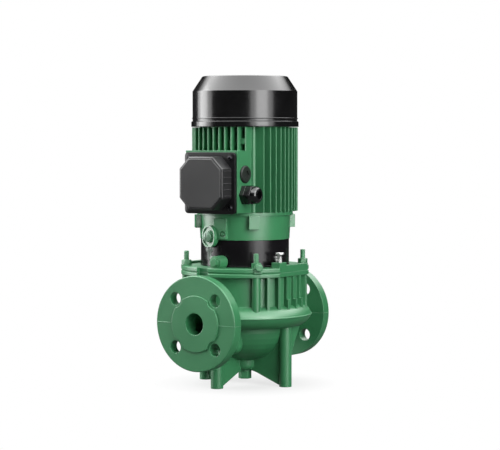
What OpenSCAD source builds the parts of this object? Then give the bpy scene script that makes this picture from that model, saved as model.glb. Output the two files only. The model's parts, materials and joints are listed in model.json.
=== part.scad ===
// In-line centrifugal pump with two opposite pipe flanges, a lantern and an upright finned motor.
// Millimetres. The origin is on the shaft axis at the underside of the feet, +Z up.
// The pipe axis runs along X. The terminal box faces -X.

/* [Pipe connections] */
// Bore of both ports
port_d = 32; // [28:1:36]
// Length between the two flange faces
face_to_face = 260; // [256:1:280]
// Outer diameter of the flanges
flange_d = 140; // [136:1:150]
// Thickness of the flanges behind the raised face
flange_t = 16; // [12:0.5:18]
// Diameter of the raised faces
raised_face_d = 82; // [74:1:84]
// Height of the raised faces
raised_face_t = 2; // [1:0.5:3]
// Diameter of the flange bolt circle
bolt_circle_d = 100; // [98:1:104]
// Diameter of the flange bolt holes
bolt_hole_d = 19; // [14:0.5:20]

/* [Feet] */
// Height of the pipe axis above the feet
axis_h = 100; // [98:1:115]
// Diameter of the circle of the four feet
foot_circle_d = 146; // [142:1:152]
// Diameter of each foot column
foot_d = 18.5; // [16:0.5:20]
// Core diameter of the thread in each foot
foot_thread_d = 8.5; // [6.8:0.1:10.2]
// Depth of the thread in each foot
foot_thread_depth = 22; // [16:1:28]
// Thickness of the webs under the casing
web_t = 7; // [5:0.5:9]

/* [Volute casing] */
// Radius of the volute at its ridge
ridge_r = 100.5; // [99:0.5:104]
// Height of the ridge above the pipe axis
ridge_rise = 6; // [4:0.5:8]
// Radius of the volute's rounded flanks in section, above and below the ridge
bulge_r = 26; // [25:0.5:28]
// Angle at which both flanks meet the ridge
ridge_slope = 18; // [14:1:20]
// Outer radius of the upright wall above the bulge
wall_r = 84; // [83:0.5:85]
// Radius of the suction bowl under the bulge
bowl_r = 70; // [68:0.5:73]
// Depth of the suction bowl
bowl_h = 56; // [54:0.5:58]
// Height of the casing's top face above the pipe axis
casing_rise = 72; // [70:1:80]
// Radius of the casing flange and of the cover plate
rim_r = 96; // [95:0.5:98]
// Thickness of the casing flange
casing_flange_t = 6; // [5:0.5:9]
// Distance from the shaft axis to the two flat sides of the casing flange and cover
flat_y = 88; // [87:0.5:90]
// Bevel between the casing flange and the cover plate
rim_bevel = 1.6; // [1:0.2:2]
// Thickness of the ribs between the stud columns
rib_t = 4; // [3:0.5:5]
// Number of spaces between ribs from one stud column to the next
rib_spaces = 8; // [6:1:9]
// Radius of the nose round the drain
nose_r = 19; // [17:0.5:21]
// Depth of the nose under the pipe axis
nose_drop = 80; // [78:1:82]
// Bore of the drain hole
drain_d = 12; // [10:0.5:14]

/* [Impeller chamber] */
// Height of the spiral chamber
chamber_h = 22; // [20:0.5:24]
// Radius of the chamber round the impeller
chamber_r = 70; // [69:0.5:71]
// Radius of the spiral at its throat
throat_r = 90; // [88:0.5:91]
// Thickness of the wall between suction and impeller
eye_plate_t = 10; // [9:0.5:11]
// Thickness of the roof ring above the spiral
roof_t = 5; // [4:0.5:6]
// Radius of the opening above the roof ring
opening_r = 78; // [77:0.5:79]
// Radius of the suction chamber
suction_r = 44; // [40:1:46]
// Height of the suction chamber
suction_h = 31; // [28:1:34]

/* [Impeller] */
// Diameter of the impeller
impeller_d = 132; // [120:1:134]
// Width of the impeller outlet
outlet_w = 7; // [5:0.5:8]
// Number of vanes
vane_count = 6; // [5:1:7]
// Thickness of the vanes
vane_t = 2.8; // [2:0.2:3.4]
// Angle that each vane wraps round the hub
vane_wrap = 105; // [80:5:120]
// Radius of the vane's inner end
vane_in_r = 23; // [22.5:0.5:26]
// Inner radius of the impeller eye
eye_r = 20.5; // [19:0.5:21]
// Wall of the impeller eye neck
eye_wall = 3.5; // [3:0.5:4]
// Radial thickness of the wear ring
wear_ring_t = 2.7; // [2:0.1:3.5]
// Thickness of the impeller's shrouds
shroud_t = 2.5; // [2:0.5:3]
// Radius of the impeller hub
hub_r = 13.5; // [13:0.5:14]

/* [Cover and its studs] */
// Thickness of the cover plate
cover_t = 7; // [6:0.5:9]
// Outer radius of the bell that hangs from the cover plate
bell_r = 66; // [64:0.5:67]
// Wall of the bell
bell_wall = 6; // [5:0.5:7]
// Diameter of the stud circle
stud_circle_d = 178; // [176:1:180]
// Thread diameter of the studs
stud_d = 8; // [7:0.5:9]
// Length of a stud above the casing's top face
stud_out = 29; // [25:1:32]
// Length of a stud in the casing
stud_in = 20; // [16:1:24]
// Width across the flats of the stud nuts
nut_af = 13; // [12:0.5:15]
// Height of the stud nuts
nut_h = 7; // [6:0.5:8]
// Diameter of the washers
washer_d = 16; // [15:0.5:18]
// Thickness of the washers
washer_t = 1.6; // [1:0.2:2.4]
// Height of the jacking lugs above the cover plate
lug_h = 8; // [6:0.5:9]
// Height of the pads along the flat sides above the cover plate
pad_h = 3.4; // [2:0.2:5]
// Distance from the pipe axis's plane to the jacking screws
lug_y = 80.5; // [79:0.5:82]
// Distance of the jacking screws from the middle of the flat sides
lug_x = 27; // [24:0.5:28]
// Width of the jacking lugs
lug_w = 18; // [17:0.5:20]
// Thread diameter of the jacking screws
jack_d = 6.6; // [5:0.2:8]
// Angle of the small plug at the cover's edge
edge_plug_a = 226; // [224:0.5:228]
// Radius of the circle of the screws between cover and lantern
lantern_screw_r = 56; // [55:0.5:57]

/* [Vent line] */
// Diameter of the vent boss on the cover
vent_boss_d = 19.5; // [18:0.5:21]
// Distance from the shaft axis to the vent boss's face
vent_boss_x = 86; // [85:0.5:88]
// Thread diameter of the vent plug
vent_thread_d = 9.6; // [8:0.1:10]
// Angle of the bleed boss on the lantern
bleed_a = 167; // [164:0.5:169]
// Width of the bleed boss
bleed_w = 27; // [25:0.5:29]
// Height of the bleed boss
bleed_h = 33; // [31:0.5:35]
// Diameter of the bleed screw's dome
bleed_screw_d = 16; // [14:0.5:18]
// Diameter of the vent pipe
vent_pipe_d = 6; // [5:0.5:7]

/* [Shaft and seal] */
// Diameter of the pump shaft in the seal
pump_shaft_d = 20; // [18:0.5:21]
// Diameter of the pump shaft's socket
socket_d = 34; // [32:0.5:38]
// Diameter of the motor's shaft end
motor_end_d = 19; // [18:0.5:20]
// Length of the motor's shaft end
motor_end_l = 40; // [36:1:42]
// Width of the coupling key
key_w = 6; // [5:0.5:7]
// Radius of the sliding face of the seal
seal_r = 16.5; // [15:0.5:18]
// Wire diameter of the seal spring
spring_wire = 2; // [1.6:0.2:2.4]
// Turns of the seal spring
spring_turns = 4; // [3:1:5]

/* [Lantern and guard] */
// Height of the guarded gap between cover and lantern ring
guard_h = 40; // [38:1:46]
// Outer radius of the coupling guard
guard_r = 66.3; // [65.8:0.1:66.6]
// Thickness of the guard's sheet
guard_t = 1.5; // [1:0.1:2]
// Angle of the guard's first split line
guard_a = 250; // [245:1:252]
// Height of the lantern ring
ring_h = 36; // [34:1:40]
// Outer radius of the lantern ring at its lower edge
ring_r0 = 67; // [66.8:0.1:68]
// Outer radius of the lantern ring at its upper edge
ring_r1 = 69; // [68.2:0.1:70]
// Wall of the lantern ring
ring_wall = 7; // [6:0.5:8]
// Thickness of the lantern's top plate
ring_plate_t = 8; // [7:0.5:10]
// Radius of the lantern's centring bore
spigot_r = 40; // [38:0.5:42]
// Distance from the axis to the face of the lantern's lugs
ring_lug_r = 75.5; // [74:0.5:77]
// Width of the lantern's lugs
ring_lug_w = 15.5; // [14:0.5:17]
// Height of the lantern's lugs
ring_lug_h = 19.5; // [17:0.5:22]
// Radius of the lantern's foot ring
foot_ring_r = 64; // [63:0.5:64.5]
// Radius of the circle of the screws between lantern and motor
motor_screw_r = 50; // [48:0.5:50]

/* [Motor] */
// Height of the finned motor frame
frame_h = 126.4; // [124:0.2:136]
// Thickness of the drive end shield's rim
shield_t = 4.6; // [4:0.2:6]
// Outer radius of the frame's barrel under the fins
barrel_r = 64; // [63:0.5:65]
// Radius of the stator seat in the frame
stator_r = 58; // [56:0.5:59]
// Reach of the fins along the axes
fin_reach = 76; // [75:0.5:77]
// Roundness of the fins' outline, 2 for a circle and more for a square
fin_power = 2.3; // [2.1:0.1:2.5]
// Distance from fin to fin
fin_pitch = 10; // [9.5:0.1:10.5]
// Thickness of a fin at its tip
fin_tip_t = 2; // [1.6:0.1:2.6]
// Thickness of a fin at its root
fin_root_t = 3.2; // [2.8:0.1:4]
// Length of the stator core
stator_h = 80; // [74:1:84]
// Radius of the rotor core
rotor_r = 32.7; // [31:0.1:33.5]
// Width of the air gap between rotor and stator
air_gap = 0.4; // [0.3:0.1:0.8]
// Radius of the rotor shaft inside the core
core_shaft_r = 12.5; // [12:0.5:14]
// Radius of the tie bolt circle
tie_r = 65.5; // [65:0.5:66.5]
// Diameter of the tie bolts
tie_d = 5; // [4:0.5:6]

/* [Ball bearings] */
// Bore of the bearings
bearing_bore = 20; // [20:0.5:21]
// Outer diameter of the bearings
bearing_od = 47; // [46:0.5:48]
// Width of the bearings
bearing_w = 14; // [13:0.5:15]
// Diameter of the balls
ball_d = 7.9; // [7.4:0.1:8.2]
// Number of balls
ball_count = 8; // [7:1:9]

/* [Terminal box] */
// Width of the terminal box base and of the neck behind it
box_w = 90; // [88:1:92]
// Distance from the shaft axis to the face of the neck
neck_x = 87; // [85:0.5:89]
// Wall of the neck
neck_wall = 5; // [4:0.5:6]
// Thickness of the base plate and of the cover's flange
box_plate_t = 2.3; // [2:0.1:4]
// Width of the octagonal part of the cover
cover_w = 78; // [74:1:79]
// Cut of the octagon's corners
cover_cut = 17.5; // [16:0.5:19]
// Depth of the octagonal part in front of its flange
cover_depth = 23.7; // [20:0.1:26]
// Wall of the cover
cover_wall = 2.5; // [2:0.25:3.5]
// Distance between the cover's screws
cover_screw_pitch = 72.5; // [72:0.5:74]
// Distance from the shaft axis to the gland's axis
gland_x = 67.5; // [66:0.5:69]
// Distance between the gland's axis and the plug's axis
entry_pitch = 30; // [29:0.5:33]
// Diameter of the cable entries
entry_d = 20; // [18:0.5:21]
// Width across the flats of the gland
gland_af = 27; // [25:0.5:28]
// Bore of the gland
gland_bore_d = 11; // [9:0.5:13]
// Diameter of the blanking plug's head
plug_d = 25.5; // [24:0.5:27]

/* [Fan and fan cover] */
// Outer radius of the fan cover's rim
cowl_rim_r = 80.5; // [80:0.5:82]
// Height of the rim
cowl_rim_h = 10; // [8:0.5:12]
// Outer radius of the fan cover's wall
cowl_r = 78.6; // [78.2:0.1:79]
// Wall of the fan cover
cowl_wall = 1.6; // [1.4:0.1:2.2]
// Height from the rim's lower edge to the cone
cowl_wall_h = 53; // [50:1:58]
// Height of the cone
cowl_cone_h = 22.5; // [20:0.5:26]
// Radius at the top of the cone
cowl_top_r = 65; // [63:0.5:67]
// Width of a grille rib
grille_rib = 2.2; // [1.8:0.1:3]
// Number of slot rings in the grille
grille_rings = 5; // [4:1:6]
// Number of spokes in the grille
grille_spokes = 8; // [6:1:10]
// Outer radius of the fan
fan_r = 66; // [60:1:68]
// Number of fan blades
blade_count = 8; // [6:1:10]
// Height of the fan blades
blade_h = 26; // [22:1:30]

/* [Fits] */
// Clearance of a seated or pressed piece on its radius
seat_gap = 0.05; // [0.02:0.01:0.1]
// Clearance of a turning piece near a fixed one
run_gap = 0.3; // [0.3:0.05:0.5]
// Clearance of the balls in their grooves
ball_gap = 0.06; // [0.05:0.01:0.1]
// Clearance of a screw in a plain hole on its diameter
screw_gap = 2.4; // [1.2:0.2:2.6]

/* [Hidden] */
$fn = 72;

// Colours as the photo shows them
green = [0.25, 0.5, 0.33];
black = [0.1, 0.1, 0.11];
steel = [0.72, 0.73, 0.74];
iron = [0.45, 0.46, 0.48];
brass = [0.72, 0.58, 0.3];
copper = [0.68, 0.38, 0.22];
rubber = [0.08, 0.08, 0.08];
ceramic = [0.85, 0.84, 0.8];

// Heights of the stack, from the feet up
ridge_z = axis_h + ridge_rise;
chamber_z0 = ridge_z - chamber_h / 2;
chamber_z1 = ridge_z + chamber_h / 2;
suction_z1 = chamber_z0 - eye_plate_t;
casing_z = axis_h + casing_rise;
cover_z = casing_z + cover_t;
ring_z = cover_z + guard_h;
motor_z = ring_z + ring_h;
frame_z = motor_z + shield_t;
frame_top = frame_z + frame_h;
vane_z0 = ridge_z - outlet_w / 2;
vane_z1 = ridge_z + outlet_w / 2;

// Casing sizes that follow from the driving ones
bulge_x = ridge_r - bulge_r * cos(ridge_slope);
bulge_drop = bulge_r * sin(ridge_slope);
shoulder_a = acos((wall_r - bulge_x) / bulge_r);
bowl_z = axis_h - 10;
flange_x = face_to_face / 2 - raised_face_t - flange_t;
stud_r = stud_circle_d / 2;
column_r = 6.6;
foot_r = foot_circle_d / 2;
neck_r = port_d / 2 + 10;
ring_groove_r = 81.6;
o_ring_r = 1.5;
roof_z = chamber_z1 + roof_t;
wear_ring_r = eye_r + eye_wall + run_gap + wear_ring_t;

// Seal and shaft heights
key_l = 20;
hub_z1 = chamber_z1 + 1;
sleeve_h = 20;
spring_h = 15;
seal_z0 = hub_z1 + sleeve_h + spring_h;
bellows_h = 9;
ring_seal_h = 5;
seat_z = seal_z0 + bellows_h + ring_seal_h;
socket_z0 = motor_z - motor_end_l - 14;
socket_z1 = motor_z - 6;
shaft_hole_r = pump_shaft_d / 2 + 2;

// Motor heights
lower_bearing_z = motor_z + 5;
upper_bearing_z = frame_top - 6;
stator_z = (lower_bearing_z + bearing_w + upper_bearing_z - stator_h) / 2;
winding_h = stator_z - lower_bearing_z - bearing_w - 1;
rear_plate_t = 8;
fan_z = frame_top + rear_plate_t + 8;
cowl_top_z = frame_top + cowl_wall_h + cowl_cone_h;
pitch_r = (bearing_bore + bearing_od) / 4;

// Terminal box places
box_z = frame_z + box_w / 2 - 1;
entry_z = box_z - 17;
neck_half = box_w / 2 + 1;
seat_top = cover_z - 3;
bleed_z = ring_z + 5;
box_x = neck_x + box_plate_t;
cover_front_z = box_plate_t + cover_depth;
board_seat_x = barrel_r + 2;
fin_inset = 0.7;
cover_spigot_r = 46;
lantern_bore_r = 52;
lantern_screw_d = 6.6;
lantern_screw_a = 303;
motor_screw_d = 6;
guard_screw_d = 4;
guard_screw_a = guard_a + 8;
guard_screw_z = ring_z - 28;
vent_boss_y = -6;
vent_boss_z = cover_z + 8;
vent_pipe_x = 78;
vent_pipe_y = 9.5;
vent_bend_z = cover_z + 13;
grub_z = motor_z - 26;
grub_d = 5;
shaft_nut_r = 6;
fan_seat_d = 15;
fan_hub_h = 18;
fan_ring_r = 10;
box_screw_d = 3.4;
board_half = 28;
board_front_x = 80;
grille_hub_r = 12;
lid_rib_pitch = 9;

function arc_points(cx, cy, r, a0, a1, n) =
    [for (i = [0:n]) let (a = a0 + (a1 - a0) * i / n) [cx + r * cos(a), cy + r * sin(a)]];

function spiral_r(a) = chamber_r + 3 + (throat_r - chamber_r - 3) * a / 360;

function fin_end(x) = fin_reach * pow(1 - pow(abs(x) / fin_reach, fin_power), 1 / fin_power);

function vane_angle(t) = vane_wrap * (1 - pow(1 - t, 1.35));

module polar(a, r, z = 0) {
    rotate([0, 0, a]) translate([r, 0, z]) children();
}

module four(r, z = 0, a = 45) {
    for (i = [0:3]) polar(a + 90 * i, r, z) children();
}

module tube(r_out, r_in, h) {
    difference() {
        cylinder(r = r_out, h = h);
        translate([0, 0, -1]) cylinder(r = r_in, h = h + 2);
    }
}

module hex(af, h) {
    cylinder(d = af / cos(30), h = h, $fn = 6);
}

// A hexagon socket screw with its underside at z = 0 and its thread pointing down
module cap_screw(d, l, head_h, head_d) {
    translate([0, 0, -l]) cylinder(d = d, h = l + 0.01);
    difference() {
        cylinder(d = head_d, h = head_h);
        translate([0, 0, head_h * 0.45]) hex(d * 0.8, head_h);
    }
}

// Lays a piece made along +Z out along the pipe, at the side given
module along_pipe(side, x) {
    translate([side * x, 0, axis_h]) rotate([0, side * 90, 0]) children();
}

module flange(side) {
    along_pipe(side, flange_x) difference() {
        cylinder(d = flange_d, h = flange_t);
        translate([0, 0, flange_t - 1]) difference() {
            cylinder(d = flange_d + 4, h = 3);
            translate([0, 0, -0.5]) cylinder(r1 = flange_d / 2 + 0.5, r2 = flange_d / 2 - 1.5, h = 2);
        }
    }
    along_pipe(side, flange_x + flange_t - 0.5) linear_extrude(raised_face_t + 0.5) difference() {
        circle(d = raised_face_d);
        for (i = [0:3]) rotate(45 + 90 * i) translate([bolt_circle_d / 2, 0])
            circle(d = bolt_hole_d + 7);
    }
}

// Neck that runs from the flange down into the suction bowl
module neck(side) {
    root_x = bowl_r - 8;
    hull() {
        along_pipe(side, flange_x) cylinder(r = neck_r, h = 1, $fn = 40);
        for (y = [-1, 1]) {
            translate([side * root_x, y * 22, axis_h - 36]) sphere(r = 13, $fn = 24);
            translate([side * root_x, y * 18, axis_h + 8]) sphere(r = 13, $fn = 24);
        }
    }
}

module foot(a) {
    column_top = bowl_z;
    polar(a, foot_r) cylinder(d = foot_d, h = column_top);
    web_low = axis_h - nose_drop;
    rotate([90, 0, a]) translate([0, 0, -web_t / 2]) linear_extrude(web_t)
        polygon([[0, web_low + 0.5], [nose_r - 6, web_low + 0.5], [nose_r + 4, web_low - 2],
                 [foot_r - foot_d / 2, 2], [foot_r, 2], [foot_r, column_top], [0, column_top]]);
}

// Gusset beside a foot column, rising to the volute's underside
module side_gusset(a) {
    rotate([0, 0, a]) translate([foot_r - web_t / 2, web_t / 2, 0]) rotate([90, 0, 90])
        linear_extrude(web_t) polygon([[-2, axis_h - 66], [30, axis_h - 12], [-2, axis_h - 12]]);
}

module casing_outside() {
    rotate_extrude($fn = 120) polygon(concat(
        [[0, bowl_z - bowl_h]],
        [for (i = [1:10]) let (t = 9 * i) [bowl_r * sin(t), bowl_z - bowl_h * cos(t)]],
        arc_points(bulge_x, ridge_z + bulge_drop, bulge_r, -70, -ridge_slope - 2, 8),
        [[ridge_r + 0.6, ridge_z - 0.6], [ridge_r + 0.6, ridge_z + 0.6]],
        arc_points(bulge_x, ridge_z - bulge_drop, bulge_r, ridge_slope + 2, shoulder_a, 8),
        [[wall_r, casing_z - casing_flange_t - 2], [wall_r + 2, casing_z - casing_flange_t],
         [rim_r, casing_z - casing_flange_t], [rim_r, casing_z - rim_bevel],
         [rim_r - rim_bevel, casing_z], [0, casing_z]]));
    rotate_extrude() polygon(concat(
        [[0, axis_h - nose_drop]],
        arc_points(nose_r - 9, axis_h - nose_drop + 9, 9, -90, 0, 5),
        [[nose_r + 1, bowl_z - bowl_h + 16], [0, bowl_z - bowl_h + 16]]));
}

// Rows of upright ribs on the two long sides, between the stud columns
module casing_ribs() {
    rib_reach = rim_r - 3;
    rib_z = ridge_z + 8;
    for (side = [45, 225], i = [1:rib_spaces - 1])
        rotate([0, 0, side + 90 * i / rib_spaces])
            translate([wall_r - 2, -rib_t / 2, rib_z])
                cube([rib_reach - wall_r + 2, rib_t, casing_z - rib_z - casing_flange_t + 1]);
}

// Space outside the two flat sides and in the notch over the suction neck
module rim_cuts(z, h) {
    for (side = [0, 180]) rotate([0, 0, side]) translate([-rim_r, -flat_y - rim_r, z])
        cube([2 * rim_r, rim_r, h]);
    translate([-rim_r - 1, 0.5, z]) cube([rim_r - 86, 21, h]);
}

module casing_passages() {
    translate([0, 0, chamber_z0]) cylinder(r = chamber_r, h = chamber_h + roof_t + 1);
    translate([0, 0, roof_z]) cylinder(r = opening_r, h = casing_z - roof_z + 1);
    translate([0, 0, chamber_z0]) linear_extrude(chamber_h)
        polygon([for (i = [0:60]) let (a = 6 * i) [spiral_r(a) * cos(a), spiral_r(a) * sin(a)]]);
    translate([0, 0, suction_z1 - suction_h]) cylinder(r = suction_r, h = suction_h);
    translate([0, 0, suction_z1 - 1]) cylinder(r = wear_ring_r, h = eye_plate_t + 2);
    for (side = [-1, 1]) along_pipe(side, flange_x - 4)
        cylinder(d = port_d, h = flange_t + raised_face_t + 5);
    hull() {
        along_pipe(-1, flange_x - 5) cylinder(d = port_d - 1, h = 1.5, $fn = 32);
        translate([-78, -19, suction_z1 - 20]) cube([4, 38, 19]);
    }
    translate([-79, -19, suction_z1 - 20]) cube([79 - suction_r / 2, 38, 19]);
    hull() {
        along_pipe(1, flange_x - 5) cylinder(d = port_d - 1, h = 1.5, $fn = 32);
        translate([throat_r - 16, -15, chamber_z0]) cube([4, 30, chamber_h]);
    }
}

module volute_casing() color(green) difference() {
    union() {
        difference() {
            union() {
                casing_outside();
                for (side = [-1, 1]) neck(side);
                for (a = [0, 90, 180, 270]) foot(a);
                for (a = [90, 270]) side_gusset(a);
                four(stud_r, ridge_z + 4) cylinder(r = column_r, h = casing_z - ridge_z - 5);
                casing_ribs();
            }
            rim_cuts(ridge_z + bulge_r, casing_z - ridge_z);
            casing_passages();
        }
        for (side = [-1, 1]) flange(side);
    }
    for (side = [-1, 1]) along_pipe(side, flange_x - 4) {
        cylinder(d = port_d, h = flange_t + raised_face_t + 8);
        four(bolt_circle_d / 2, 3) cylinder(d = bolt_hole_d, h = flange_t + 4);
    }
    four(foot_r, -1, 0) cylinder(d = foot_thread_d, h = foot_thread_depth + 1);
    four(stud_r, casing_z - stud_in - 2) cylinder(d = stud_d + 2 * seat_gap, h = stud_in + 4);
    translate([0, 0, axis_h - nose_drop - 1]) cylinder(d = drain_d, h = nose_drop - 20);
    translate([0, 0, casing_z - 2 * o_ring_r])
        tube(ring_groove_r + o_ring_r + seat_gap, ring_groove_r - o_ring_r - seat_gap, 10);
}

module drain_plug() color(green) translate([0, 0, axis_h - nose_drop]) {
    cylinder(d = drain_d - 2 * seat_gap, h = 10);
    translate([0, 0, -2]) cylinder(d = drain_d + 8, h = 2);
    translate([0, 0, -13]) hex(drain_d + 5, 11.5);
}

module wear_ring() color(brass) translate([0, 0, suction_z1 + 0.5])
    tube(wear_ring_r - seat_gap, wear_ring_r - wear_ring_t, eye_plate_t - 1.5);

module lug_places() {
    for (a = [0, 180]) rotate([0, 0, a]) translate([-lug_x, -lug_y, 0]) children();
}

// Pads along both flat sides, each with its jacking lug
module cover_pads() {
    flat_half = sqrt(rim_r * rim_r - flat_y * flat_y);
    for (a = [0, 180]) rotate([0, 0, a]) translate([0, -flat_y, casing_z + 1]) {
        translate([-flat_half, 0, 0]) cube([lug_w, flat_y - lug_y + 7, cover_t + lug_h - 1]);
        translate([-flat_half + 1, 0, 0]) cube([2 * flat_half - 2, 10, cover_t + pad_h - 1]);
    }
}

// Lays a piece made along +Z out along -X, at the vent boss's face
module vent_place() {
    translate([-vent_boss_x, vent_boss_y, vent_boss_z]) rotate([0, -90, 0]) children();
}

module casing_cover() color(green) difference() {
    union() {
        difference() {
            rotate_extrude($fn = 120) polygon([[0, casing_z], [rim_r - rim_bevel, casing_z],
                [rim_r, casing_z + rim_bevel], [rim_r, cover_z - rim_bevel / 2],
                [rim_r - rim_bevel / 2, cover_z], [0, cover_z]]);
            rim_cuts(casing_z - 1, cover_t + 2);
        }
        translate([0, 0, casing_z - 8]) cylinder(r = opening_r - seat_gap, h = 9);
        translate([0, 0, roof_z + seat_gap]) cylinder(r = bell_r, h = casing_z - roof_z - 4);
        translate([0, 0, chamber_z1 + 0.5]) cylinder(r = chamber_r - seat_gap, h = roof_t + 4);
        translate([0, 0, roof_z + seat_gap]) cylinder(r = chamber_r + 4, h = 5);
        translate([0, 0, cover_z - 1]) cylinder(r = cover_spigot_r, h = 4);
        cover_pads();
        intersection() {
            vent_place() translate([0, 0, -22]) cylinder(d = vent_boss_d, h = 22);
            translate([-vent_boss_x - 4, -30, casing_z + 1]) cube([vent_boss_x + 3 - guard_r, 60, 60]);
        }
        polar(edge_plug_a, rim_r - 4, casing_z) translate([0, -6, 0]) cube([6, 12, cover_t]);
        polar(edge_plug_a, rim_r + 1.2, cover_z + 1.5) rotate([0, 90, 0]) cylinder(d = 13, h = 2.5);
    }
    bell_floor = chamber_z1 + roof_t + 3;
    translate([0, 0, bell_floor]) cylinder(r = bell_r - bell_wall, h = casing_z - bell_floor - 5);
    translate([0, 0, chamber_z1 - 1]) cylinder(r = hub_r + 1.5, h = 20);
    four(45, chamber_z1 - 1, 0) cylinder(r = 4, h = 20);
    translate([0, 0, casing_z - 20]) cylinder(r = shaft_hole_r, h = 60);
    translate([0, 0, casing_z - 6]) cylinder(r = seal_r + 5, h = seat_top - casing_z + 6);
    four(stud_r, casing_z - 1) cylinder(d = stud_d + 1, h = cover_t + 12);
    four(lantern_screw_r, casing_z - 2, lantern_screw_a)
        cylinder(d = lantern_screw_d + 4 * seat_gap, h = cover_t + 8);
    lug_places() translate([0, 0, casing_z - 1])
        cylinder(d = jack_d + 4 * seat_gap, h = cover_t + lug_h + 4);
    vent_place() translate([0, 0, -11]) cylinder(d = vent_thread_d, h = 12);
    translate([-vent_pipe_x, vent_pipe_y - 1.5, vent_bend_z]) rotate([90, 0, 0])
        cylinder(d = vent_pipe_d, h = 14);
}

module cover_o_ring() color(rubber) translate([0, 0, casing_z - o_ring_r])
    rotate_extrude() translate([ring_groove_r, 0]) circle(r = o_ring_r - 0.01);

module cover_studs() color(green) four(stud_r, casing_z - stud_in) {
    cylinder(d = stud_d, h = stud_in + stud_out - 1);
    translate([0, 0, stud_in + stud_out - 1]) cylinder(d1 = stud_d, d2 = stud_d - 2, h = 1);
}

module cover_washers() color(green) four(stud_r, cover_z) tube(washer_d / 2, stud_d / 2 + 0.3, washer_t);

module cover_nuts() color(green) four(stud_r, cover_z + washer_t) difference() {
    intersection() {
        hex(nut_af, nut_h);
        cylinder(r1 = nut_af, r2 = nut_af / 2 + 0.3, h = nut_h);
    }
    translate([0, 0, -1]) cylinder(d = stud_d + 2 * seat_gap, h = nut_h + 2);
}

module jacking_screws() color(steel) lug_places() translate([0, 0, cover_z + lug_h]) {
    translate([0, 0, -12]) cylinder(d = jack_d, h = 23);
    translate([0, 0, 11]) cylinder(d = 13, h = 3.5);
}

module edge_plug() color(green) polar(edge_plug_a, rim_r + 3.7, cover_z + 1.5) rotate([0, 90, 0]) {
    cylinder(d = 10, h = 2);
    translate([0, 0, 2]) cylinder(d1 = 10, d2 = 8, h = 1);
}

module vent_plug() color(green) vent_place() {
    translate([0, 0, -9]) cylinder(d = vent_thread_d - 2 * seat_gap, h = 9);
    cylinder(d = 15, h = 1.5);
    translate([0, 0, 1.5]) hex(10, 4);
}

module vent_pipe() color(steel) {
    translate([-vent_pipe_x, vent_pipe_y, vent_bend_z]) {
        sphere(d = vent_pipe_d + 2.4);
        cylinder(d = vent_pipe_d - 0.4, h = ring_z - vent_bend_z - 8.6);
        rotate([90, 0, 0]) cylinder(d = vent_pipe_d - 2 * seat_gap, h = 10.4);
    }
}

module bleed_place() {
    polar(bleed_a, ring_r1 + 6, bleed_z) rotate([0, 90, 0]) children();
}

module bleed_screw() color(green) bleed_place() difference() {
    union() {
        translate([0, 0, -8]) cylinder(d = 8, h = 8.01);
        intersection() {
            cylinder(d = bleed_screw_d, h = 6);
            translate([0, 0, -bleed_screw_d + 4]) sphere(r = bleed_screw_d);
        }
    }
    translate([-bleed_screw_d, -0.8, 2.2]) cube([2 * bleed_screw_d, 1.6, 8]);
}

// One backward curved vane, drawn in plan
module vane() {
    steps = 14;
    r_out = impeller_d / 2 + 2;
    mid = [for (i = [0:steps]) let (t = i / steps) [vane_in_r + (r_out - vane_in_r) * t, -vane_angle(t)]];
    half = [for (p = mid) asin(vane_t / 2 / p[0]) * 1.6];
    polygon(concat(
        [for (i = [0:steps]) mid[i][0] * [cos(mid[i][1] + half[i]), sin(mid[i][1] + half[i])]],
        [for (i = [steps:-1:0]) mid[i][0] * [cos(mid[i][1] - half[i]), sin(mid[i][1] - half[i])]]));
}

module impeller() color(brass) {
    r_out = impeller_d / 2;
    neck_out = eye_r + eye_wall;
    shroud_z = chamber_z0 + 1.5;
    difference() {
        union() {
            rotate_extrude() polygon([
                [eye_r, suction_z1 + 1], [neck_out, suction_z1 + 1], [neck_out, shroud_z],
                [r_out, vane_z0 - shroud_t], [r_out, vane_z0], [neck_out + 4, shroud_z + shroud_t + 1],
                [eye_r, shroud_z + shroud_t - 1]]);
            translate([0, 0, vane_z1]) cylinder(r = r_out, h = shroud_t);
            translate([0, 0, chamber_z0 - 2])
                cylinder(r1 = hub_r - 1, r2 = hub_r, h = hub_z1 - chamber_z0 + 2);
            intersection() {
                translate([0, 0, chamber_z0]) linear_extrude(vane_z1 - chamber_z0 + 1)
                    for (i = [0:vane_count - 1]) rotate(360 * i / vane_count) vane();
                rotate_extrude() polygon([
                    [vane_in_r - 2, shroud_z + shroud_t - 0.5], [neck_out + 4, shroud_z + shroud_t + 0.5],
                    [r_out, vane_z0 - 0.5], [r_out, vane_z1 + 0.5], [vane_in_r - 2, vane_z1 + 0.5]]);
            }
        }
        translate([0, 0, chamber_z0 - 3]) cylinder(d = pump_shaft_d + 2 * seat_gap, h = 60);
        translate([0, -key_w / 4, chamber_z0 - 3]) cube([pump_shaft_d / 2 + 1.6, key_w / 2, 60]);
    }
}

module impeller_key() color(steel) translate([pump_shaft_d / 2 - 2, -key_w / 4 + seat_gap, chamber_z0 + 1])
    cube([3.4, key_w / 2 - 2 * seat_gap, key_l - 4]);

module impeller_nut() color(steel) translate([0, 0, chamber_z0 - 2]) rotate([180, 0, 0]) {
    tube(shaft_nut_r + 4.5, shaft_nut_r, 1.5);
    translate([0, 0, 1.5]) difference() {
        hex(3 * shaft_nut_r, 9);
        translate([0, 0, -1]) cylinder(r = shaft_nut_r + seat_gap, h = 12);
    }
}

module shaft_sleeve() color(steel) translate([0, 0, hub_z1])
    tube(hub_r - 0.5, pump_shaft_d / 2 + seat_gap, sleeve_h);

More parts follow.
